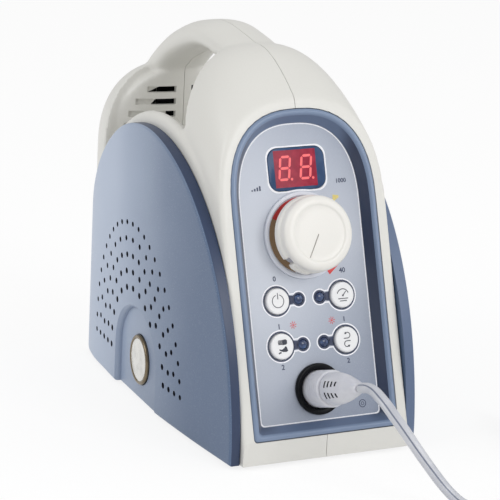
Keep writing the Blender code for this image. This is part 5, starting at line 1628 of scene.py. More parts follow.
@dataclass
class SidePads(Form):
    """Coloured side pads with perforations, scooped tongue and round badge."""

    end: float = 0.2125
    centre: float = 0.118
    length: float = 0.115
    height: float = 0.1515
    face: float = 0.0555
    round: float = 0.0013
    shares: Table = (
        (0.0, 0.978), (0.2, 1.0), (0.4, 0.996), (0.531, 0.969), (0.667, 0.937), (0.757, 0.892),
        (0.856, 0.838), (0.923, 0.775), (0.964, 0.712),
    )
    tongue_centre: float = 0.121
    tongue_half: float = 0.029
    tongue_spring: float = 0.023
    tongue_rise: float = 0.0265
    tongue_front: float = 0.0538
    tongue_rear: float = 0.0482
    badge_centre: float = 0.119
    badge_height: float = 0.0217
    badge_radius: float = 0.0138
    badge_stand: float = 0.0022
    badge_seat: float = 0.001
    badge_face: float = 0.0509
    badge_turn: float = 5.5
    rows: Sequence[int] = (13, 15, 19, 19, 25)
    row_half: float = 0.0345
    row_step: float = 0.00705
    row_rise: float = 0.0405
    row_rise_step: float = 0.0088
    row_foot: float = 0.019
    row_centre: float = 0.1234
    middle: Point2 = (0.115, 0.05)

    def face_at(self, y: float) -> float:
        """Distance of the outer face from the middle plane."""
        return self.face * smooth_value(self.shares, y / self.depth)

    def edge_outline(self, inset: float) -> list[Point2]:
        """Outline of a pad, (depth, height), moved in by an inset.

        Args:
            inset: How far inside the true outline.

        Returns:
            Points, from the front foot over the top to the rear foot and back along the floor.
        """
        a, b = self.length - inset, self.height - inset
        stop = acos(max(-1.0, min(1.0, (self.centre - (self.end - inset)) / a)))
        arc = [(self.centre - a * cos(turn), b * sin(turn)) for turn in spread(0.02 * pi, stop, 73)]
        front, rear = arc[0], arc[-1]
        arc = [(front[0], front[1] * f) for f in (0.33, 0.66)] + arc
        down = [(rear[0], rear[1] * f) for f in spread(0.95, 0.05, 14)]
        return arc + down + [(y, inset if inset < 0.002 else 0.0) for y in spread(rear[0], front[0], 40)]

    def perforations(self) -> Item:
        """Pins for the dotted field, set by the repeating tree on five nested arches.

        Returns:
            The pins, through the right pad's outer face.
        """
        spots = []
        for k, count in enumerate(self.rows):
            half, rise = self.row_half + self.row_step * k, self.row_rise + self.row_rise_step * k
            share = 1.0 - 0.045 * k
            for turn in spread(0, pi, count):
                z = self.row_foot + rise * sin(turn) ** 1.08
                y = self.row_centre - half * cos(turn) + 0.1 * (z - self.row_foot)
                if not self.in_tongue(y, z):
                    lean = (self.face_at(y + 0.002) - self.face_at(y - 0.002)) / 0.004
                    turned = Vector((1.0, -lean, 0.0)).normalized().to_track_quat("Z", "Y").to_matrix()
                    spots.append((BODY @ at(self.face_at(y), y, z) @ turned.to_4x4(), (share, share, 1.0)))
        # The pins leave their near-black colour on the hole walls: painted shade.
        return Repeater(Repeat.PIN, 14).make("perforation_pins", spots, (0.0035, 0.0035, 0.0052), HOLE_SHADE)

    def in_tongue(self, y: float, z: float) -> bool:
        """True for a place within a pin's width of the scooped tongue."""
        across = abs(y - self.tongue_centre) - 0.0045
        above = max(0.0, z - self.tongue_spring) * self.tongue_half / self.tongue_rise
        return z < 0.055 and (across < 0 or across**2 + above**2 < self.tongue_half**2)

    def shrunk(self, inset: float, share: float, wall: Callable[[float], float]) -> list[Point3]:
        """The pad's outline on a wall, drawn in towards the pad's middle.

        Args:
            inset: How far inside the true outline.
            share: Its size after drawing in.
            wall: The wall's distance from the middle plane at a depth.

        Returns:
            Points in the body frame.
        """
        middle_y, middle_z = self.middle
        ring = [(middle_y + (y - middle_y) * share, middle_z + (z - middle_z) * share)
                for y, z in self.edge_outline(inset)]
        return [(wall(y), y, z) for y, z in ring]

    def scoop(self) -> Item:
        """The solid that scoops the tongue out of the right pad.

        Returns:
            The scoop.
        """
        layers = []
        for out, grow in ((0.0, 0.0), (0.0012, 0.0), (0.0022, 0.0004), (0.004, 0.0016), (0.0085, 0.0042)):
            lift = 1 + grow / self.tongue_half
            ring = []
            for v, z in arch(self.tongue_half, -PAST, self.tongue_spring, self.tongue_rise, 2, 22):
                share = (v + self.tongue_half) / (2 * self.tongue_half)
                depth = self.tongue_front + (self.tongue_rear - self.tongue_front) * share + out
                ring.append((depth, self.tongue_centre + v * lift, z * lift if z > 0 else z))
            layers.append(ring)
        return Maker.coat(Maker.loft("tongue_scoop", layers, BODY), PAD)

    def pad(self) -> Item:
        """The right pad.

        Returns:
            The pad with its scoop, badge seat and perforations.
        """
        shares = (0.07, 0.18, 0.3, 0.42, 0.54, 0.66, 0.78, 0.88, 0.95)
        rings = [self.shrunk(0.0, s, lambda y: self.width_at(y) + GAP) for s in (*shares, 1.0)]
        for turn in spread(0, pi / 2, 6):
            drop, inset = self.round * (1 - sin(turn)), self.round * (1 - cos(turn))
            rings.append([(self.face_at(y) - drop, y, z) for y, z in self.edge_outline(inset)])
        rings += [self.shrunk(self.round, s, self.face_at) for s in (0.985, *reversed(shares))]
        pad = Maker.coat(Maker.loft("side_pad_dressed_right", rings, BODY), PAD, PAD_EDGE_SHADED, HOLE_SHADE)
        radius, seat = self.badge_radius + GAP, self.seat_place()
        hole = Maker.turned("badge_seat", ((0, -self.badge_seat), (radius, -self.badge_seat), (radius, PAST),
                                           (0, PAST)), seat, 64, Axis.X)
        # The badge seat's wall takes the darker edge colour: painted shade in the recess.
        Maker.combine(pad, Mode.CUT, self.scoop(), Maker.coat(hole, PAD_EDGE_SHADED))
        Maker.combine(pad, Mode.CUT, self.perforations())
        names = [material.name if material else "" for material in pad.data.materials]
        edge = names.index(PAD_EDGE_SHADED.name)
        # Faces of the outer edge wall take the darker edge colour, which carries painted shade.
        for face in pad.data.polygons:
            spot = face.center
            near = (spot - seat.translation).length < self.badge_radius * 1.15
            upper = spot.z > 0.03 or spot.y > 0.09 or spot.y < -0.1
            pit = names[face.material_index].startswith(HOLE_SHADE.name)
            if not pit and abs(face.normal.x) < 0.35 and not near and upper and self.on_edge(spot):
                face.material_index = edge
        return Maker.shade(pad, 40)

    def on_edge(self, point: Vector) -> bool:
        """True for a point on the pad's outer edge wall."""
        spot = BODY.inverted() @ point
        share = ((spot.y - self.centre) / self.length) ** 2 + (spot.z / self.height) ** 2
        return share > 0.95 or spot.y > self.end - 0.002 or spot.z < 0.001

    def seat_place(self) -> Matrix:
        """Where the badge sits on the right pad."""
        turn = Matrix.Rotation(radians(self.badge_turn), 4, "Z")
        return BODY @ at(self.badge_face, self.badge_centre, self.badge_height) @ turn

    def badge(self) -> Item:
        """The bright badge, blank, with a raised bead and a domed middle.

        Returns:
            The right badge.
        """
        r, s = self.badge_radius, self.badge_stand
        profile = [(0, GAP - self.badge_seat), (r - 0.0002, GAP - self.badge_seat), (r, GAP), (r, s * 0.45)]
        profile += [(r - 0.0011 * (1 - cos(t)), s * 0.45 + s * 0.5 * sin(t)) for t in spread(0.2, pi / 2, 6)]
        profile += [(r * out, s * up) for out, up in ((0.87, 0.93), (0.85, 0.84), (0.83, 0.76), (0.8, 0.74))]
        profile += [(r * 0.8 * k, s * (0.74 + 0.24 * (1 - k * k))) for k in (0.9, 0.75, 0.6, 0.4, 0.2)]
        profile += [(0, s * 0.98)]
        badge = Maker.shade(Maker.turned("badge_dressed_right", profile, self.seat_place(), 96, Axis.X), 40)
        Maker.coat(badge, CHROME, BEAD)
        for face in badge.data.polygons:
            way = face.center - self.seat_place().translation
            face.material_index = int(sqrt(way.y**2 + way.z**2) > 0.84 * r)
        return badge

    def build(self) -> None:
        """Make both pads and badges."""
        for item, finish, node in ((self.pad(), PAD, "side_pad"), (self.badge(), CHROME, "badge")):
            left = Maker.mirror(item, item.name.replace("right", "left"))
            # The right pad gets the lighter edge copy in painted light; the left keeps the darker one in
            # painted shade.
            for slot, material in enumerate(item.data.materials):
                if material.name == PAD_EDGE_SHADED.name:
                    item.data.materials[slot] = PAD_EDGE_LIT.material()
            Maker.deliver(item, finish, replaces=(f"{node}_right",), coat=False)
            Maker.deliver(left, finish, replaces=(f"{node}_left",), coat=False)


# ---- control panel


@dataclass
class PanelRim:
    """The blue rim round the control panel."""

    half: float = 0.042
    foot: float = 0.0124
    spring: float = 0.13
    rise: float = 0.051
    power: float = 2.5
    corner: float = 0.002
    section: Table = (
        (0.0, -0.0052), (0.0, -0.0008), (0.00015, -0.00015), (0.0006, 0.0005), (0.0011, 0.00078),
        (0.0017, 0.0009), (0.0023, 0.00078), (0.0028, 0.0005), (0.00315, 0.0), (0.0034, -0.0005),
        (0.0052, -0.0029), (0.0069, -0.0052),
    )

    def outline(self, inset: float, steps: int = 12) -> list[Point2]:
        """Outline, (across, up), moved in by an inset, with small round bottom corners.

        Args:
            inset: How far inside the outermost line.
            steps: Points on each quarter of the arch.

        Returns:
            Points, anticlockwise.
        """
        half, foot = self.half - inset, self.foot + inset
        upper = arch(half, foot, self.spring, self.rise - inset, self.power, steps)[1:-1]
        corners = [(side * (half - self.corner + self.corner * cos(angle)),
                    foot + self.corner - self.corner * sin(angle))
                   for side, ends in ((-1, (0, pi / 2)), (1, (pi / 2, 0))) for angle in spread(*ends, 5)]
        return upper + corners

    def build(self) -> None:
        """Make the rim."""
        rings = [[(u, v, out) for u, v in self.outline(inset, 44)] for inset, out in self.section]
        rim = Maker.loft("panel_rim_dressed", rings, PANEL, closed=True)
        Maker.coat(rim, RIM, RIM_WALL_SHADE)
        inverse = PANEL.inverted()
        # Faces of the inner wall take the painted shade of the second slot.
        for face in rim.data.polygons:
            spot = inverse @ face.center
            if spot.z < -0.0004 and self.inside(spot):
                face.material_index = 1
        Maker.shade(rim, 50)
        Maker.deliver(rim, RIM, replaces=("panel_rim",), coat=False)

    def inside(self, spot: Vector) -> bool:
        """Tell the wall that slopes down to the plate.

        Args:
            spot: A place in the panel's frame.

        Returns:
            True for a place on that wall.
        """
        reach = self.half - 0.0031
        if spot.y < self.spring:
            return abs(spot.x) < reach and spot.y > self.foot + 0.0031
        rise = self.rise - 0.0031
        return (abs(spot.x) / reach) ** self.power + ((spot.y - self.spring) / rise) ** self.power < 1


@dataclass
class ControlPanel:
    """Panel plate with its film, prints, display window and digits."""

    window_half: float = 0.0165
    window_low: float = 0.1392
    window_high: float = 0.1615
    window_corner: float = 0.006
    dial_centre: float = 0.1157
    dial_clear: float = 0.0243
    ink_low: float = PLATE_FACE - 0.00006
    ink_high: float = PLATE_FACE + 0.00008

    def stencil(self, name: str, lift: float = 0.0) -> Stencil:
        """A print on the plate, lifted a little where it lies on another."""
        return Stencil(name, self.ink_low, self.ink_high + lift, PANEL)

    def window_outline(self, grow: float) -> list[Point2]:
        """Outline of the display window, grown by a margin.

        Args:
            grow: How far outside the window's own edge.

        Returns:
            Points (across, up), anticlockwise.
        """
        low, high = self.window_low - grow, self.window_high + grow
        corner, dial = self.window_corner, self.dial_clear - grow
        reach = self.window_half + grow - corner
        points: list[Point2] = []
        for side_u, side_v, start in ((1, 1, 0), (-1, 1, 90), (-1, -1, 180), (1, -1, 270)):
            middle = (side_u * reach, (high if side_v > 0 else low) - side_v * corner)
            points += circle(corner, 9, middle, radians(start), radians(start + 90))
            if side_u < 0 and side_v < 0:
                for x in (u * reach for u in spread(-1, 1, 21)[1:-1]):
                    arc = self.dial_centre + sqrt(dial * dial - x * x)
                    points.append((x, max(low, low + (arc - low) * smoothstep((arc - low) / 0.004 + 0.35))))
        return points

    def keyhole(self, side: int, up: float, button: float, lamp: float, neck: float) -> list[Point2]:
        """Outline, (across, up), round a button and its lamp, joined by a neck.

        Args:
            side: 1 for the right column, -1 for the left.
            up: Height of the row.
            button, lamp: Radii round the two.
            neck: Half height of the neck.

        Returns:
            The outline's points.
        """
        first, second = (atan2(neck, sqrt(radius**2 - neck**2)) for radius in (button, lamp))
        points = []
        for middle, radius, start, end, count in (
                (PushButtons.side, button, first, 2 * pi - first, 40),
                (PushButtons.lamp_side, lamp, pi + second, 3 * pi - second, 26)):
            points += [(side * (middle - radius * cos(t)), up + radius * sin(t))
                       for t in spread(start, end, count)]
        return points

    def borders(self) -> None:
        """White lines: along the plate's edge, round the window and round the buttons."""
        white, dark = self.stencil("print_borders"), self.stencil("print_button_grounds", -0.00003)
        rim, side_u, lamp_u = PanelRim(), PushButtons.side, PushButtons.lamp_side
        white.slab((rim.outline(0.00765, 40), rim.outline(0.0071, 40)), closed=True)
        white.slab((self.window_outline(0.0002), self.window_outline(0.0010)), closed=True)
        for up in PushButtons.rows:
            for side in (-1, 1):
                white.slab((self.keyhole(side, up, 0.0079, 0.0037, 0.0027),
                            self.keyhole(side, up, 0.0086, 0.0044, 0.0034)), closed=True)
                dark.ring(0.00752, 0.0008, (side * side_u, up))
                dark.ring(0.0032, 0.0009, (side * lamp_u, up))
                inner, outer = side * (side_u - 0.0073), side * (lamp_u + 0.0031)
                dark.area([(inner, up - 0.0024), (outer, up - 0.0021), (outer, up + 0.0021),
                           (inner, up + 0.0024)])
        white.deliver(INK_WHITE)
        dark.deliver(INK_DARK)

    def marks(self) -> None:
        """Plain numbers, arrows and status marks beside the controls."""
        navy = self.stencil("print_marks")
        for text, *spot in (("0", -0.0191, 0.0946), ("40", 0.0208, 0.0958), ("1", -0.0190, 0.0699),
                            ("2", -0.0189, 0.0489), ("1", 0.0192, 0.0704), ("2", 0.0195, 0.0487)):
            navy.number(text, 0.0026, spot, 0.00008)
        for k in range(4):
            left, right, top = -0.0272 + 0.0015 * k, -0.0263 + 0.0015 * k, 0.1410 + 0.0006 * k
            navy.area([(left, 0.1403), (right, 0.1403), (right, top), (left, top)])
        navy.number("1000", 0.0023, (0.0254, 0.1424), 0.00006)
        navy.ring(0.0019, 0.0004, (0.0252, 0.0256), steps=28)
        navy.ring(0.0008, 0.0003, (0.0252, 0.0256), steps=18)
        red = self.stencil("print_red_marks")
        for centre in ((-0.0108, 0.0700), (0.0119, 0.0703)):
            for k in range(8):
                turn = pi / 4 * k + 0.2
                ends = [(centre[0] + r * cos(turn), centre[1] + r * sin(turn)) for r in (0.0008, 0.0020)]
                red.stroke(ends, 0.00032)
            red.disc(0.0005, centre, 12)
        red.area([(0.0118, 0.0966), (0.0134, 0.0941), (0.0195, 0.0992)])
        yellow = self.stencil("print_yellow_mark")
        yellow.area([(0.0193, 0.1328), (0.0199, 0.1318), (0.0231, 0.1337), (0.0229, 0.1348),
                     (0.0196, 0.1353)])
        navy.deliver(INK_NAVY)
        red.deliver(INK_RED)
        yellow.deliver(INK_YELLOW)

    def display(self) -> None:
        """Window lens with a red field and two glowing figures with their points."""
        face = PLATE_FACE + 0.0003
        rings = [[(u, v, face - out) for u, v in self.window_outline(-inset)]
                 for out, inset in ((0.0017, 0.0), (0.0003, 0.0), (0.0001, 0.0001), (0.0, 0.0004))]
        lens = Maker.shade(Maker.loft("window_lens", rings, PANEL), 60)
        Maker.deliver(lens, WINDOW, replaces=("display_window",))
        field = Stencil("window_red_field", face - 0.0001, face + 0.00005, PANEL)
        field.area([(-0.0129, 0.1409), (0.0115, 0.1409), (0.0115, 0.1602), (-0.0129, 0.1602)])
        field.deliver(FIELD)
        digits = Stencil("window_figures", face, face + 0.00012, PANEL)
        for left in (-0.0114, 0.0010):
            self.figure(digits, left, 0.1444)
        digits.deliver(DIGITS)

    def figure(self, ink: Stencil, left: float, foot: float) -> None:
        """One figure of seven slanted bars, all lit, with its point.

        Args:
            ink: The print it goes into.
            left: Left end of its foot.
            foot: Height of its foot.
        """
        width, height, thick, lean, cut = 0.0069, 0.0130, 0.00065, 0.150, 0.00028
        half = height / 2

        def bar(low: float, high: float, middle: float, level: bool) -> None:
            """A pointed bar between two ends, level or upright, in the leaning figure."""
            ends = [(low, 0), (low + thick, -thick), (high - thick, -thick), (high, 0),
                    (high - thick, thick), (low + thick, thick)]
            spots = [(along, middle + off) if level else (middle - off, along) for along, off in ends]
            ink.area([(left + x + y * lean, foot + y) for x, y in spots])

        for y in (thick, half, height - thick):
            bar(thick + cut, width - thick - cut, y, True)
        for x in (thick, width - thick):
            bar(thick + cut, half - cut, x, False)
            bar(half + cut, height - thick - cut, x, False)
        ink.disc(0.0007, (left + width + 0.0012, foot + 0.0006), 16)

    def build(self) -> None:
        """Make the whole panel."""
        self.borders()
        self.marks()
        self.display()
        for node, finish in (("panel_plate", FILM), ("display_module", FIELD), ("panel_board", BOARD),
                             ("speed_potentiometer", MATT_BLACK), ("knob_shaft", STEEL),
                             *((f"switch_{word}", MATT_BLACK) for word in PushButtons.names)):
            Maker.coat(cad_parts[node], finish)


@dataclass
class SpeedKnob:
    """Dial ring with its coloured bands, and the speed knob."""

    height: float = 0.1157
    dial_radius: float = 0.0227
    dial_rim: float = 0.0022
    dial_raise: float = 0.0016
    dial_floor: float = 0.0005
    radius: float = 0.0203
    waist: float = 0.0192
    front: float = 0.0197
    stand: float = 0.0072
    length: float = 0.0122
    face_radius: float = 0.0141
    face_depth: float = 0.0006
    wall: float = 0.0022
    hub: float = 0.0045
    notch_width: float = 0.0042
    notch_depth: float = 0.0026
    notch_length: float = 0.0058
    notch_at: float = 221.0
    line_ends: tuple[Point2, Point2] = ((-0.0008, -0.0004), (-0.0070, -0.0122))

    def place(self, out: float = 0.0) -> Matrix:
        """The knob's frame at a height over the panel's datum."""
        return PANEL @ at(0, self.height, out)

    def dial(self) -> None:
        """The dial ring, the red band printed on its floor and a tan band: gold print darkened by a painted
        shadow of the knob.
        """
        face = PLATE_FACE + GAP
        r, top, ground = self.dial_radius, face + self.dial_raise, face + self.dial_floor
        rim = r - self.dial_rim
        low = rim - self.dial_floor
        profile = [(0.0049, face), (r, face), (r, top - 0.0006), *rounding(r, top, 0.0006, 0.2, 5),
                   (rim + 0.0003, top), (rim, top - 0.0003), (low, ground + 0.0001), (low - 0.0004, ground),
                   (0.0049, ground), (0.0049, face)]
        ring = Maker.shade(Maker.turned("dial_ring", profile, self.place(), 96), 40)
        Maker.deliver(ring, DIAL, replaces=("speed_dial",))
        # The tan band on the left is gold print with a painted shadow of the knob.
        for name, finish, first, last in (("red", INK_RED, -60, 150), ("tan", INK_GOLD_SHADOW, 150, 250)):
            band = Stencil(f"dial_band_{name}", ground - 0.0001, ground + 0.0001, self.place())
            band.ring(0.0183, 0.0032, first=first, last=last, steps=60)
            band.deliver(finish)

    def profile(self) -> list[Point2]:
        """Profile of the knob: hollow, skirt, waist, front and dished face.

        Returns:
            Points (radius, height).
        """
        low, high = self.stand, self.stand + self.length
        inner, roof = self.radius - self.wall, high - 1.5 * self.wall
        bore, hub_low, size, lip = 0.0033, 0.0041, 0.0034, self.face_radius
        points = [(0, high - 2 * self.wall), (bore, high - 2 * self.wall), (bore, hub_low),
                  (self.hub, hub_low), (self.hub, roof), (inner, roof), (inner, low),
                  (self.radius - 0.0005, low), (self.radius, low + 0.0005), (self.radius, low + 0.0030)]
        points += [(self.radius + (self.waist - self.radius) * smoothstep(t), low + 0.0030 + 0.0022 * t)
                   for t in spread(0, 1, 9)[1:]]
        points += [(self.waist + (self.front - self.waist) * t, low + 0.0052 + 0.0034 * t)
                   for t in spread(0, 1, 5)[1:]]
        points += [(self.front - size * (1 - cos(t)), high - size + size * sin(t))
                   for t in spread(0, pi / 2, 10)[1:]]
        points += [(lip + 0.0012 - 0.0013 * t, high - self.face_depth * smoothstep(t))
                   for t in spread(0, 1, 7)]
        return points + [(lip * out, high - self.face_depth * deep)
                         for out, deep in ((0.8, 0.9), (0.5, 0.75), (0.2, 0.65), (0, 0.65))]

    def knob(self) -> None:
        """The knob with its notch and pointer line."""
        place, low, high = self.place(PLATE_FACE), self.stand, self.stand + self.length
        knob = Maker.turned("speed_knob_dressed", self.profile(), place, 128)
        turn = Matrix.Rotation(radians(self.notch_at), 4, "Z")
        half = self.notch_width / 2
        corners = ((self.radius - self.notch_depth, -half, low - PAST),
                   (self.radius + PAST, half, low + self.notch_length))
        notch = Maker.boxes("knob_notch", [corners], place @ turn)
        start, end = (Vector((*p, 0)) for p in self.line_ends)
        way, half = (end - start).normalized(), (end - start).length / 2
        line = (at(*((start + end) / 2 + Vector((0, 0, high - self.face_depth))))
                @ Matrix.Rotation(atan2(way.y, way.x), 4, "Z"))
        groove = Maker.boxes("pointer_groove", [((-half, -0.00028, -0.0002), (half, 0.00028, 0.002))],
                             place @ line)
        Maker.combine(Maker.coat(knob, KNOB), Mode.CUT, Maker.coat(notch, KNOB), Maker.coat(groove, POINTER))
        Maker.deliver(Maker.shade(knob, 42), KNOB, "knob", ("speed_knob",), coat=False)

    def skirt(self) -> None:
        """The slightly raised stretch of the skirt below the notch."""
        rings, r, base = [], self.radius, PLATE_FACE + self.stand
        for k, angle in enumerate(spread(228, 262, 18)):
            ease = smoothstep(min(k, 17 - k) / 2.5)
            c, s = cos(radians(angle)), sin(radians(angle))
            section = ((r - 0.0012, 0.0001), (r + 0.0006 * ease, 0.0001), (r + 0.0008 * ease, 0.0006),
                       (r + 0.0008 * ease, 0.0024), (r + 0.0004 * ease, 0.0031), (r - 0.0012, 0.0033))
            rings.append([(radius * c, radius * s, base + out) for radius, out in section])
        Maker.deliver(Maker.shade(Maker.loft("knob_skirt_rib", rings, self.place()), 45), KNOB, "knob")

    def build(self) -> None:
        """Make dial and knob."""
        self.dial()
        self.knob()
        self.skirt()


@dataclass
class PushButtons:
    """Four push buttons with their icons, and the lamps beside them."""

    side: float = 0.019
    rows: tuple[float, float] = (0.083, 0.0596)
    names: tuple[str, ...] = ("power", "cruise", "control", "direction")
    radius: float = 0.0067
    proud: float = 0.0017
    lamp_side: float = 0.0062
    lamp_radius: float = 0.0025
    lamp_proud: float = 0.0009

    def cap(self, word: str, place: Matrix) -> None:
        """A button's cap, flange and stem, with its icon.

        Args:
            word: Which button.
            place: Its frame on the panel.
        """
        crown, back, r, body = PLATE_FACE + self.proud, PLATE_FACE - 0.002, self.radius, f"{word}_button"
        profile = [(0, -0.011), (0.002, -0.011), (0.002, back - 0.0013), (0.0078, back - 0.0013),
                   (0.0078, back - 0.0003), (r, back - 0.0003), (r, crown - 0.0009),
                   *rounding(r, crown, 0.0009, 0.15, 7)]
        profile += [(r * s, crown - 0.00008 * (1 - s)) for s in (0.8, 0.5, 0.2)] + [(0, crown - 0.0001)]
        cap = Maker.shade(Maker.turned(f"button_cap_{word}", profile, place, 64), 40)
        Maker.deliver(cap, BUTTON, body, (f"button_{word}",))
        icon = Stencil(f"button_icon_{word}", crown - 0.0002, crown + 0.00006, place)
        getattr(self, f"draw_{word}")(icon)
        icon.deliver(INK_ICON, body)

    @staticmethod
    def draw_power(icon: Stencil) -> None:
        """Open ring with a bar: the usual on and off sign."""
        icon.ring(0.0033, 0.00036, first=108, last=432, steps=48)
        icon.stroke([(0, 0.0010), (0, 0.0043)], 0.00036)

    @staticmethod
    def draw_cruise(icon: Stencil) -> None:
        """Two level bars under a gauge arc: hold the speed.

        Args:
            icon: The print it goes into.
        """
        icon.ring(0.0034, 0.00042, (0, -0.0004), 20, 160, 32)
        icon.disc(0.0005, (0, -0.0004), 14)
        for ends in ([(0, -0.0004), (0.0019, 0.0017)], [(-0.0029, -0.0020), (0.0029, -0.0020)],
                     [(-0.0020, -0.0032), (0.0020, -0.0032)]):
            icon.stroke(ends, 0.00042)

    @staticmethod
    def draw_control(icon: Stencil) -> None:
        """A hand over a foot pedal.

        Args:
            icon: The print it goes into.
        """
        for k in range(4):
            level = 0.0012 + 0.00062 * k
            icon.stroke([(0.0004, level), (-0.0024 + 0.0002 * (k in (0, 3)), level)], 0.00048)
        for outline in (
                [(0.0002, 0.0007), (0.0022, 0.0009), (0.0028, 0.0014), (0.0028, 0.0030), (0.0020, 0.0036),
                 (0.0002, 0.0034)],
                [(-0.0020, -0.0012), (-0.0004, -0.0016), (0.0010, -0.0008), (0.0016, 0), (0.0024, -0.0003),
                 (0.0030, -0.0024), (0.0020, -0.0029), (0.0002, -0.0028), (-0.0018, -0.0020)],
                [(-0.0024, -0.0038), (-0.0008, -0.0033), (-0.0010, -0.0026), (-0.0025, -0.0031)]):
            icon.area(outline)

    @staticmethod
    def draw_direction(icon: Stencil) -> None:
        """Two bent arrows, one for each way of turning.

        Args:
            icon: The print it goes into.
        """
        for sign, first in ((1, -80), (-1, 100)):
            centre = (0.0003 * sign, 0.0022 * sign)
            icon.ring(0.0015, 0.0004, centre, first, first + 200, 26)
            start, end = radians(first), radians(first + 200)
            c, s = cos(end), sin(end)
            tip = (centre[0] + 0.0015 * c, centre[1] + 0.0015 * s)
            icon.area([(tip[0] + c * 0.0007, tip[1] + s * 0.0007),
                       (tip[0] - s * 0.0012, tip[1] + c * 0.0012),
                       (tip[0] - c * 0.0007, tip[1] - s * 0.0007)])
            icon.stroke([(centre[0] + 0.0015 * cos(start), centre[1] + 0.0015 * sin(start)),
                         (centre[0] - 0.0022 * sign, centre[1] - 0.00148 * sign)], 0.0004)

    def lamp(self, word: str, place: Matrix) -> None:
        """A lamp: a domed lens in its hole.

        Args:
            word: Which lamp.
            place: Its frame on the panel.
        """
        dome, r = PLATE_FACE + self.lamp_proud, self.lamp_radius
        profile = [(0, -0.015), (r, -0.015), (r, dome - 0.0013)]
        profile += [(r * cos(t), dome - 0.0013 + 0.0013 * sin(t)) for t in spread(0.12, pi / 2 - 0.05, 10)]
        lens = Maker.turned(f"lamp_lens_{word}", profile + [(0, dome)], place, 40)
        Maker.deliver(Maker.shade(lens, 50), LED, replaces=(f"lamp_{word}",))

    def build(self) -> None:
        """Make all buttons and lamps."""
        for k, word in enumerate(self.names):
            side, up = 2 * (k % 2) - 1, self.rows[k // 2]
            self.cap(word, PANEL @ at(side * self.side, up, 0))
            self.lamp(word, PANEL @ at(side * self.lamp_side, up, 0))


# ---- plug and handpiece


@dataclass
class MotorPlug:
    """Socket ring, ridged plug and slotted relief of the lead."""

    height: float = 0.0358
    ring_radius: float = 0.0134
    ring_proud: float = 0.0022
    body_radius: float = 0.0116
    bore: float = 0.0102
    depth: float = 0.016
    plug_radius: float = 0.0097
    seat: float = 0.009
    length: float = 0.0165
    ridges: int = 5
    ridge_depth: float = 0.0004
    pitch: float = 0.0022
    relief_end: float = 0.041
    root: float = 0.0086
    tip_up: float = 0.0026
    tip_across: float = 0.0042
    slot_count: int = 4
    slot_width: float = 0.0012
    slot_pitch: float = 0.0030
    slot_start: float = 0.0162

    def place(self) -> Matrix:
        """The socket's frame."""
        return PANEL @ at(0, self.height, 0)

    def socket(self) -> None:
        """The black socket ring."""
        face, end, bore = PLATE_FACE + GAP, PLATE_FACE - self.depth, self.bore
        top = face + self.ring_proud
        profile = [(0, end), (self.body_radius, end), (self.body_radius, face), (self.ring_radius, face),
                   (self.ring_radius, top - 0.0007), *rounding(self.ring_radius, top, 0.0007, 0.2, 6),
                   (bore + 0.0009, top), (bore + 0.0003, top - 0.0002), (bore, top - 0.0007),
                   (bore, end + 0.0025), (0, end + 0.0025)]
        ring = Maker.shade(Maker.turned("socket_ring", profile, self.place(), 96), 40)
        Maker.deliver(ring, GLOSS_BLACK, replaces=("motor_socket",))

    def plug(self) -> Item:
        """The plug with its soft ridges.

        Returns:
            The plug.
        """
        r, face = self.plug_radius, PLATE_FACE + GAP
        ring, low = face + self.ring_proud, face - self.seat
        high = low + self.seat + self.length
        profile = [(0, low), (r - 0.0003, low), (r, low + 0.0003), (r, ring + self.pitch)]
        for k in range(self.ridges):
            start = ring + self.pitch * (k + 1)
            profile += [(r - self.ridge_depth * sin(pi * t) ** 2, start + self.pitch * t * 0.98)
                        for t in spread(0, 1, 9)[1:]]
        profile += [*rounding(r, high, 0.0011, 0.1, 6), (0, high)]
        plug = Maker.shade(Maker.turned("plug_ridged", profile, self.place(), 96), 50)
        return Maker.deliver(plug, PLUG, replaces=("motor_plug",))

    def relief(self) -> Item:
        """The tapered relief with two rows of slots.

        Returns:
            The relief.
        """
        start = PLATE_FACE + GAP + self.length + GAP
        table = ((0.0, 0.0), (0.2, 0.04), (0.45, 0.25), (0.7, 0.62), (0.9, 0.93), (1.0, 1.0))
        rings = []
        for along in (0.0, 0.02, *spread(0.06, 0.94, 24), 0.98, 1.0):
            shrink, edge = smooth_value(table, along), 0.0004 if along in (0.0, 1.0) else 0.0
            across, up = (self.root + (tip - self.root) * shrink - edge
                          for tip in (self.tip_across, self.tip_up))
            out = start + (self.relief_end - start) * along
            rings.append([(across * cos(turn), up * sin(turn), out) for turn in angles(56)])
        relief = Maker.loft("plug_relief_dressed", rings, self.place())
        places = [self.slot_start + self.slot_pitch * k + self.slot_width / 2
                  for k in range(self.slot_count)]
        spots = [(self.place() @ at(-0.0070, row * 0.0029, out), (1.0, 1.0 - 0.12 * k, 1.0))
                 for row in (-1, 1) for k, out in enumerate(places)]
        # The slot walls take the near-black colour: painted shade.
        slots = Repeater(Repeat.BLOCK).make("relief_slots", spots, (0.0056, 0.0034, self.slot_width), HOLE_SHADE)
        Maker.combine(Maker.coat(relief, PLUG), Mode.CUT, slots)
        return Maker.deliver(Maker.shade(relief, 40), PLUG, replaces=("plug_relief",), coat=False)

    def build(self) -> list[Item]:
        """Make socket, plug and relief.

        Returns:
            The pieces that the lead carries.
        """
        self.socket()
        return [self.plug(), self.relief()]


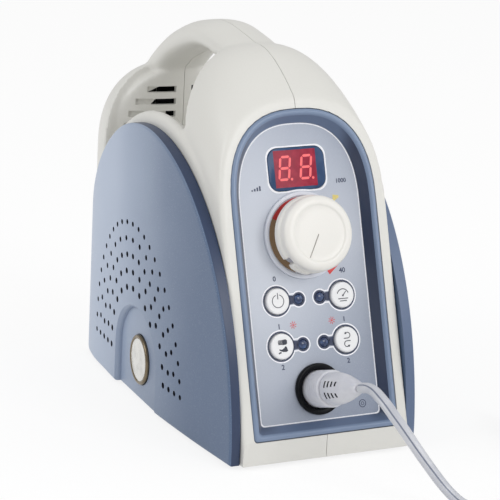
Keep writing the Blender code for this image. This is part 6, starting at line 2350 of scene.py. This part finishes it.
@dataclass
class Handpiece:
    """Boot, motor, lock ring, nose and spindle, in line along +Y."""

    side: float = 0.122
    tail: float = -0.082
    radius: float = 0.013
    boot: float = 0.016
    boot_tip: float = 0.0044
    boot_root: float = 0.0095
    motor: float = 0.038
    ring: float = 0.009
    nose: float = 0.032
    neck: float = 0.0072
    tip: float = 0.0046
    core: float = 0.0085
    bore: float = 0.0028
    spindle: float = 0.0022
    spindle_proud: float = 0.004
    grips: int = 24

    def place(self) -> Matrix:
        """Frame at the tail of the handpiece."""
        return BODY @ at(self.side, self.tail, self.radius + 0.0003 - 0.002)

    def turn(self, name: str, profile: Sequence[Point2], steps: int = 96) -> Item:
        """A turned piece of the handpiece."""
        return Maker.shade(Maker.turned(name, profile, self.place(), steps, Axis.Y), 40)

    def grooved(self, low: float, high: float, radius: float, places: Sequence[float]) -> list[Point2]:
        """A straight wall with fine engraved rings.

        Args:
            low, high: Ends of the wall.
            radius: Its radius.
            places: Where each ring is cut.

        Returns:
            Profile points.
        """
        points = [(radius, low)]
        for y in places:
            points += [(radius - deep, y + off) for deep, off in
                       ((0, -0.0003), (0.0003, -0.00012), (0.0003, 0.00012), (0, 0.0003))]
        return points + [(radius, high)]

    def boot_profile(self) -> list[Point2]:
        """Profile of the folded boot.

        Returns:
            Points (radius, height).
        """
        table = ((0, self.boot_tip), (self.boot * 0.35, self.boot_tip * 1.15),
                 (self.boot * 0.75, self.boot_root * 0.8), (self.boot, self.boot_root))
        points = [(0, 0), (self.boot_tip - 0.0003, 0), (self.boot_tip, 0.0003)]
        for k, y in enumerate(spread(0.001, self.boot - 0.0006, 28)):
            fold = 0.00035 if 2 < k < 20 and k % 3 == 0 else 0.0
            points.append((smooth_value(table, y) - fold, y))
        return points + [(self.boot_root - 0.0004, self.boot), (0, self.boot)]

    def barrel_profile(self, low: float, high: float, end: float) -> list[Point2]:
        """Profile of the motor with the core that carries the lock ring.

        Args:
            low, high: Ends of the motor.
            end: End of the core.

        Returns:
            Points (radius, height).
        """
        r, hole = self.radius, self.bore + GAP
        points = [(0, low), (self.boot_root + 0.0004, low), (self.boot_root + 0.0008, low + 0.0004)]
        points += [(r - 0.0030 * (1 - sin(t)) ** 1.4, low + 0.0008 + 0.0026 * t / (pi / 2))
                   for t in spread(0.1, pi / 2, 8)]
        points += self.grooved(low + 0.004, high - 0.0010, r, [low + s for s in
                                                               (0.008, 0.0095, 0.011, 0.031, 0.0325)])
        return points + [(r - 0.0003, high - 0.0003), (r - 0.0008, high), (self.core, high),
                         (self.core, end), (hole, end), (hole, high), (0, high)]

    def nose_profile(self, low: float, high: float) -> list[Point2]:
        """Profile of the hollow nose with three rings cut round its neck.

        Args:
            low, high: Ends of the nose.

        Returns:
            Points (radius, height).
        """
        r = self.radius
        table = ((0.0, r - 0.0008), (0.1, r - 0.0008), (0.3, self.neck * 1.25), (0.55, self.neck),
                 (0.8, self.neck * 0.92), (1.0, self.tip))
        points = [(self.bore, low), (r - 0.0012, low), (r - 0.0008, low + 0.0004)]
        for s in spread(0.02, 0.985, 44):
            cut = 0.0003 if any(abs(s - c) < 0.012 for c in (0.5, 0.55, 0.6)) else 0.0
            points.append((smooth_value(table, s) - cut, low + self.nose * s))
        return points + [(self.tip - 0.0003, high), (self.bore, high), (self.bore, low)]

    def lock_ring(self, low: float, high: float) -> Item:
        """The lock ring with its grips.

        Args:
            low, high: Its ends.

        Returns:
            The ring.
        """
        r, hole = self.radius, self.core + GAP
        profile = [(hole, low), (r - 0.0014, low),
                   *self.grooved(low + 0.0008, high - 0.0008, r - 0.0006, ()),
                   (r - 0.0014, high), (hole, high), (hole, low)]
        lock = Maker.turned("lock_ring_dressed", profile, self.place(), 96, Axis.Y)
        grip = at(r - 0.0007, (low + high) / 2, 0)
        spots = [(self.place() @ (Matrix.Rotation(turn, 4, "Y") @ grip), WHOLE)
                 for turn in angles(self.grips)]
        size = (0.0013, self.ring - 0.0028, 0.0014)
        grips = Repeater(Repeat.BLOCK).make("lock_ring_grips", spots, size, STEEL)
        Maker.combine(Maker.coat(lock, STEEL), Mode.JOIN, grips)
        return Maker.shade(Maker.soften(lock, 0.00014, 2, 40), 40)

    def build(self) -> list[Item]:
        """Make the handpiece.

        Returns:
            Its pieces.
        """
        low = self.boot + GAP
        high = low + self.motor
        end = high + self.ring + 2 * GAP
        nose_low = end + GAP
        nose_high = nose_low + self.nose
        tip, deep = nose_high + self.spindle_proud, high + GAP
        pin = [(0, deep), (self.spindle, deep), (self.spindle, tip - 0.0008), (self.spindle - 0.0004, tip),
               (0.0012, tip), (0.0012, tip - 0.01), (0, tip - 0.01)]
        lock = self.lock_ring(high + GAP, high + GAP + self.ring)
        barrel, nose = self.barrel_profile(low, high, end), self.nose_profile(nose_low, nose_high)
        return [
            Maker.deliver(self.turn("handpiece_boot_dressed", self.boot_profile()), BOOT,
                          replaces=("handpiece_boot",)),
            Maker.deliver(self.turn("handpiece_barrel", barrel), TURNED, replaces=("handpiece_motor",)),
            Maker.deliver(lock, STEEL, "tool_lock", ("lock_ring",), coat=False),
            Maker.deliver(self.turn("handpiece_nose_cone", nose), TURNED, replaces=("handpiece_nose",)),
            Maker.deliver(self.turn("spindle_chuck", pin, 48), STEEL, "tool_spindle", ("spindle",)),
        ]


# ---- base, inside and rear


@dataclass
class BaseAndInside:
    """Base plate, feet, screws and the pieces inside."""

    edge: float = 0.0004
    foot_edge: float = 0.0003

    def build(self) -> None:
        """Dress the pieces under and inside the housing."""
        Maker.dress_copy("base_plate", "base_plate_dressed", self.edge, MATT_BLACK)
        for word in ("left_front", "left_rear", "right_front", "right_rear"):
            Maker.dress_copy(f"foot_{word}", f"rubber_foot_{word}", self.foot_edge, RUBBER)
            self.screw(word)
        for node, finish in (("transformer", COPPER), ("main_board", BOARD), ("heat_sink", PLATE_STEEL)):
            Maker.coat(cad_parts[node], finish)

    def screw(self, word: str) -> None:
        """A screw with a cross recess in its head.

        Args:
            word: Which corner.
        """
        low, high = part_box(f"screw_{word}")
        screw = Maker.coat(Maker.copy(f"screw_{word}", f"foot_screw_{word}", 0.00012), STEEL)
        middle = at((low.x + high.x) / 2, (low.y + high.y) / 2, low.z)
        for turn, deep in ((0.4, 0.0007), (0.4 + pi / 2, 0.0006)):
            spots = [(middle @ Matrix.Rotation(turn, 4, "Z"), WHOLE)]
            arm = Repeater(Repeat.BLOCK).make(f"recess_{word}", spots, (0.0036, 0.0006, deep), STEEL)
            Maker.combine(screw, Mode.CUT, arm)
        Maker.deliver(Maker.shade(screw), STEEL, replaces=(f"screw_{word}",), coat=False)


@dataclass
class RearConnections:
    """Rear plate with mains inlet, rocker, fuse and foot control jack."""

    rivet_side: float = 0.0215
    rivet_rows: tuple[float, float] = (0.026, 0.088)
    face: float = 0.2192

    def build(self) -> None:
        """Dress the rear pieces."""
        for node, name, edge, finish, body in (
                ("rear_plate", "rear_plate", 0.0002, PLATE_STEEL, "unit"),
                ("mains_inlet", "mains_inlet", 0.0004, MATT_BLACK, "unit"),
                ("rocker_frame", "rocker_frame", 0.0002, GLOSS_BLACK, "unit"),
                ("rocker", "rocker", 0.0005, GLOSS_BLACK, "power_rocker"),
                ("fuse_holder", "fuse_holder", 0.0003, MATT_BLACK, "unit"),
                ("fuse_cap", "fuse_cap", 0.0003, GLOSS_BLACK, "fuse_drawer"),
                ("foot_control_jack", "foot_jack", 0.0003, GLOSS_BLACK, "unit")):
            Maker.dress_copy(node, name + "_dressed", edge, finish, body)
        self.rocker_mark()
        self.rivets()

    def rocker_mark(self) -> None:
        """A bar on the rocker: on."""
        low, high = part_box("rocker")
        place = (at((low.x + high.x) / 2, high.y - 0.0011, (low.z + high.z) / 2)
                 @ Matrix.Rotation(pi, 4, "Z") @ Matrix.Rotation(pi / 2, 4, "X"))
        mark = Stencil("rocker_marks", -0.0011, 0.0002, place)
        mark.stroke([(0, 0.0032), (0, 0.0058)], 0.0005)
        mark.deliver(INK_WHITE, "power_rocker")

    def rivets(self) -> None:
        """Round rivet heads at the corners of the rear plate."""
        turn = Matrix.Rotation(pi / 2, 4, "X")
        spots = [(BODY @ (at(side * self.rivet_side, self.face, up) @ turn), WHOLE)
                 for side in (-1, 1) for up in self.rivet_rows]
        heads = Repeater(Repeat.PIN, 24).make("rear_rivets", spots, (0.0034, 0.0034, 0.0012), STEEL)
        Maker.deliver(Maker.shade(Maker.soften(heads, 0.0004, 3, 40), 40), STEEL, coat=False)


def main() -> None:
    """Build the studio and every sub-assembly in order."""
    logging.basicConfig(level=logging.INFO, format="%(message)s")
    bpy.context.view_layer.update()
    Studio().build()
    Lead().build(MotorPlug().build() + Handpiece().build())
    for part in (Housing, SidePads, PanelRim, ControlPanel, SpeedKnob, PushButtons, BaseAndInside,
                 RearConnections):
        part().build()


if __name__ == "__main__":
    main()
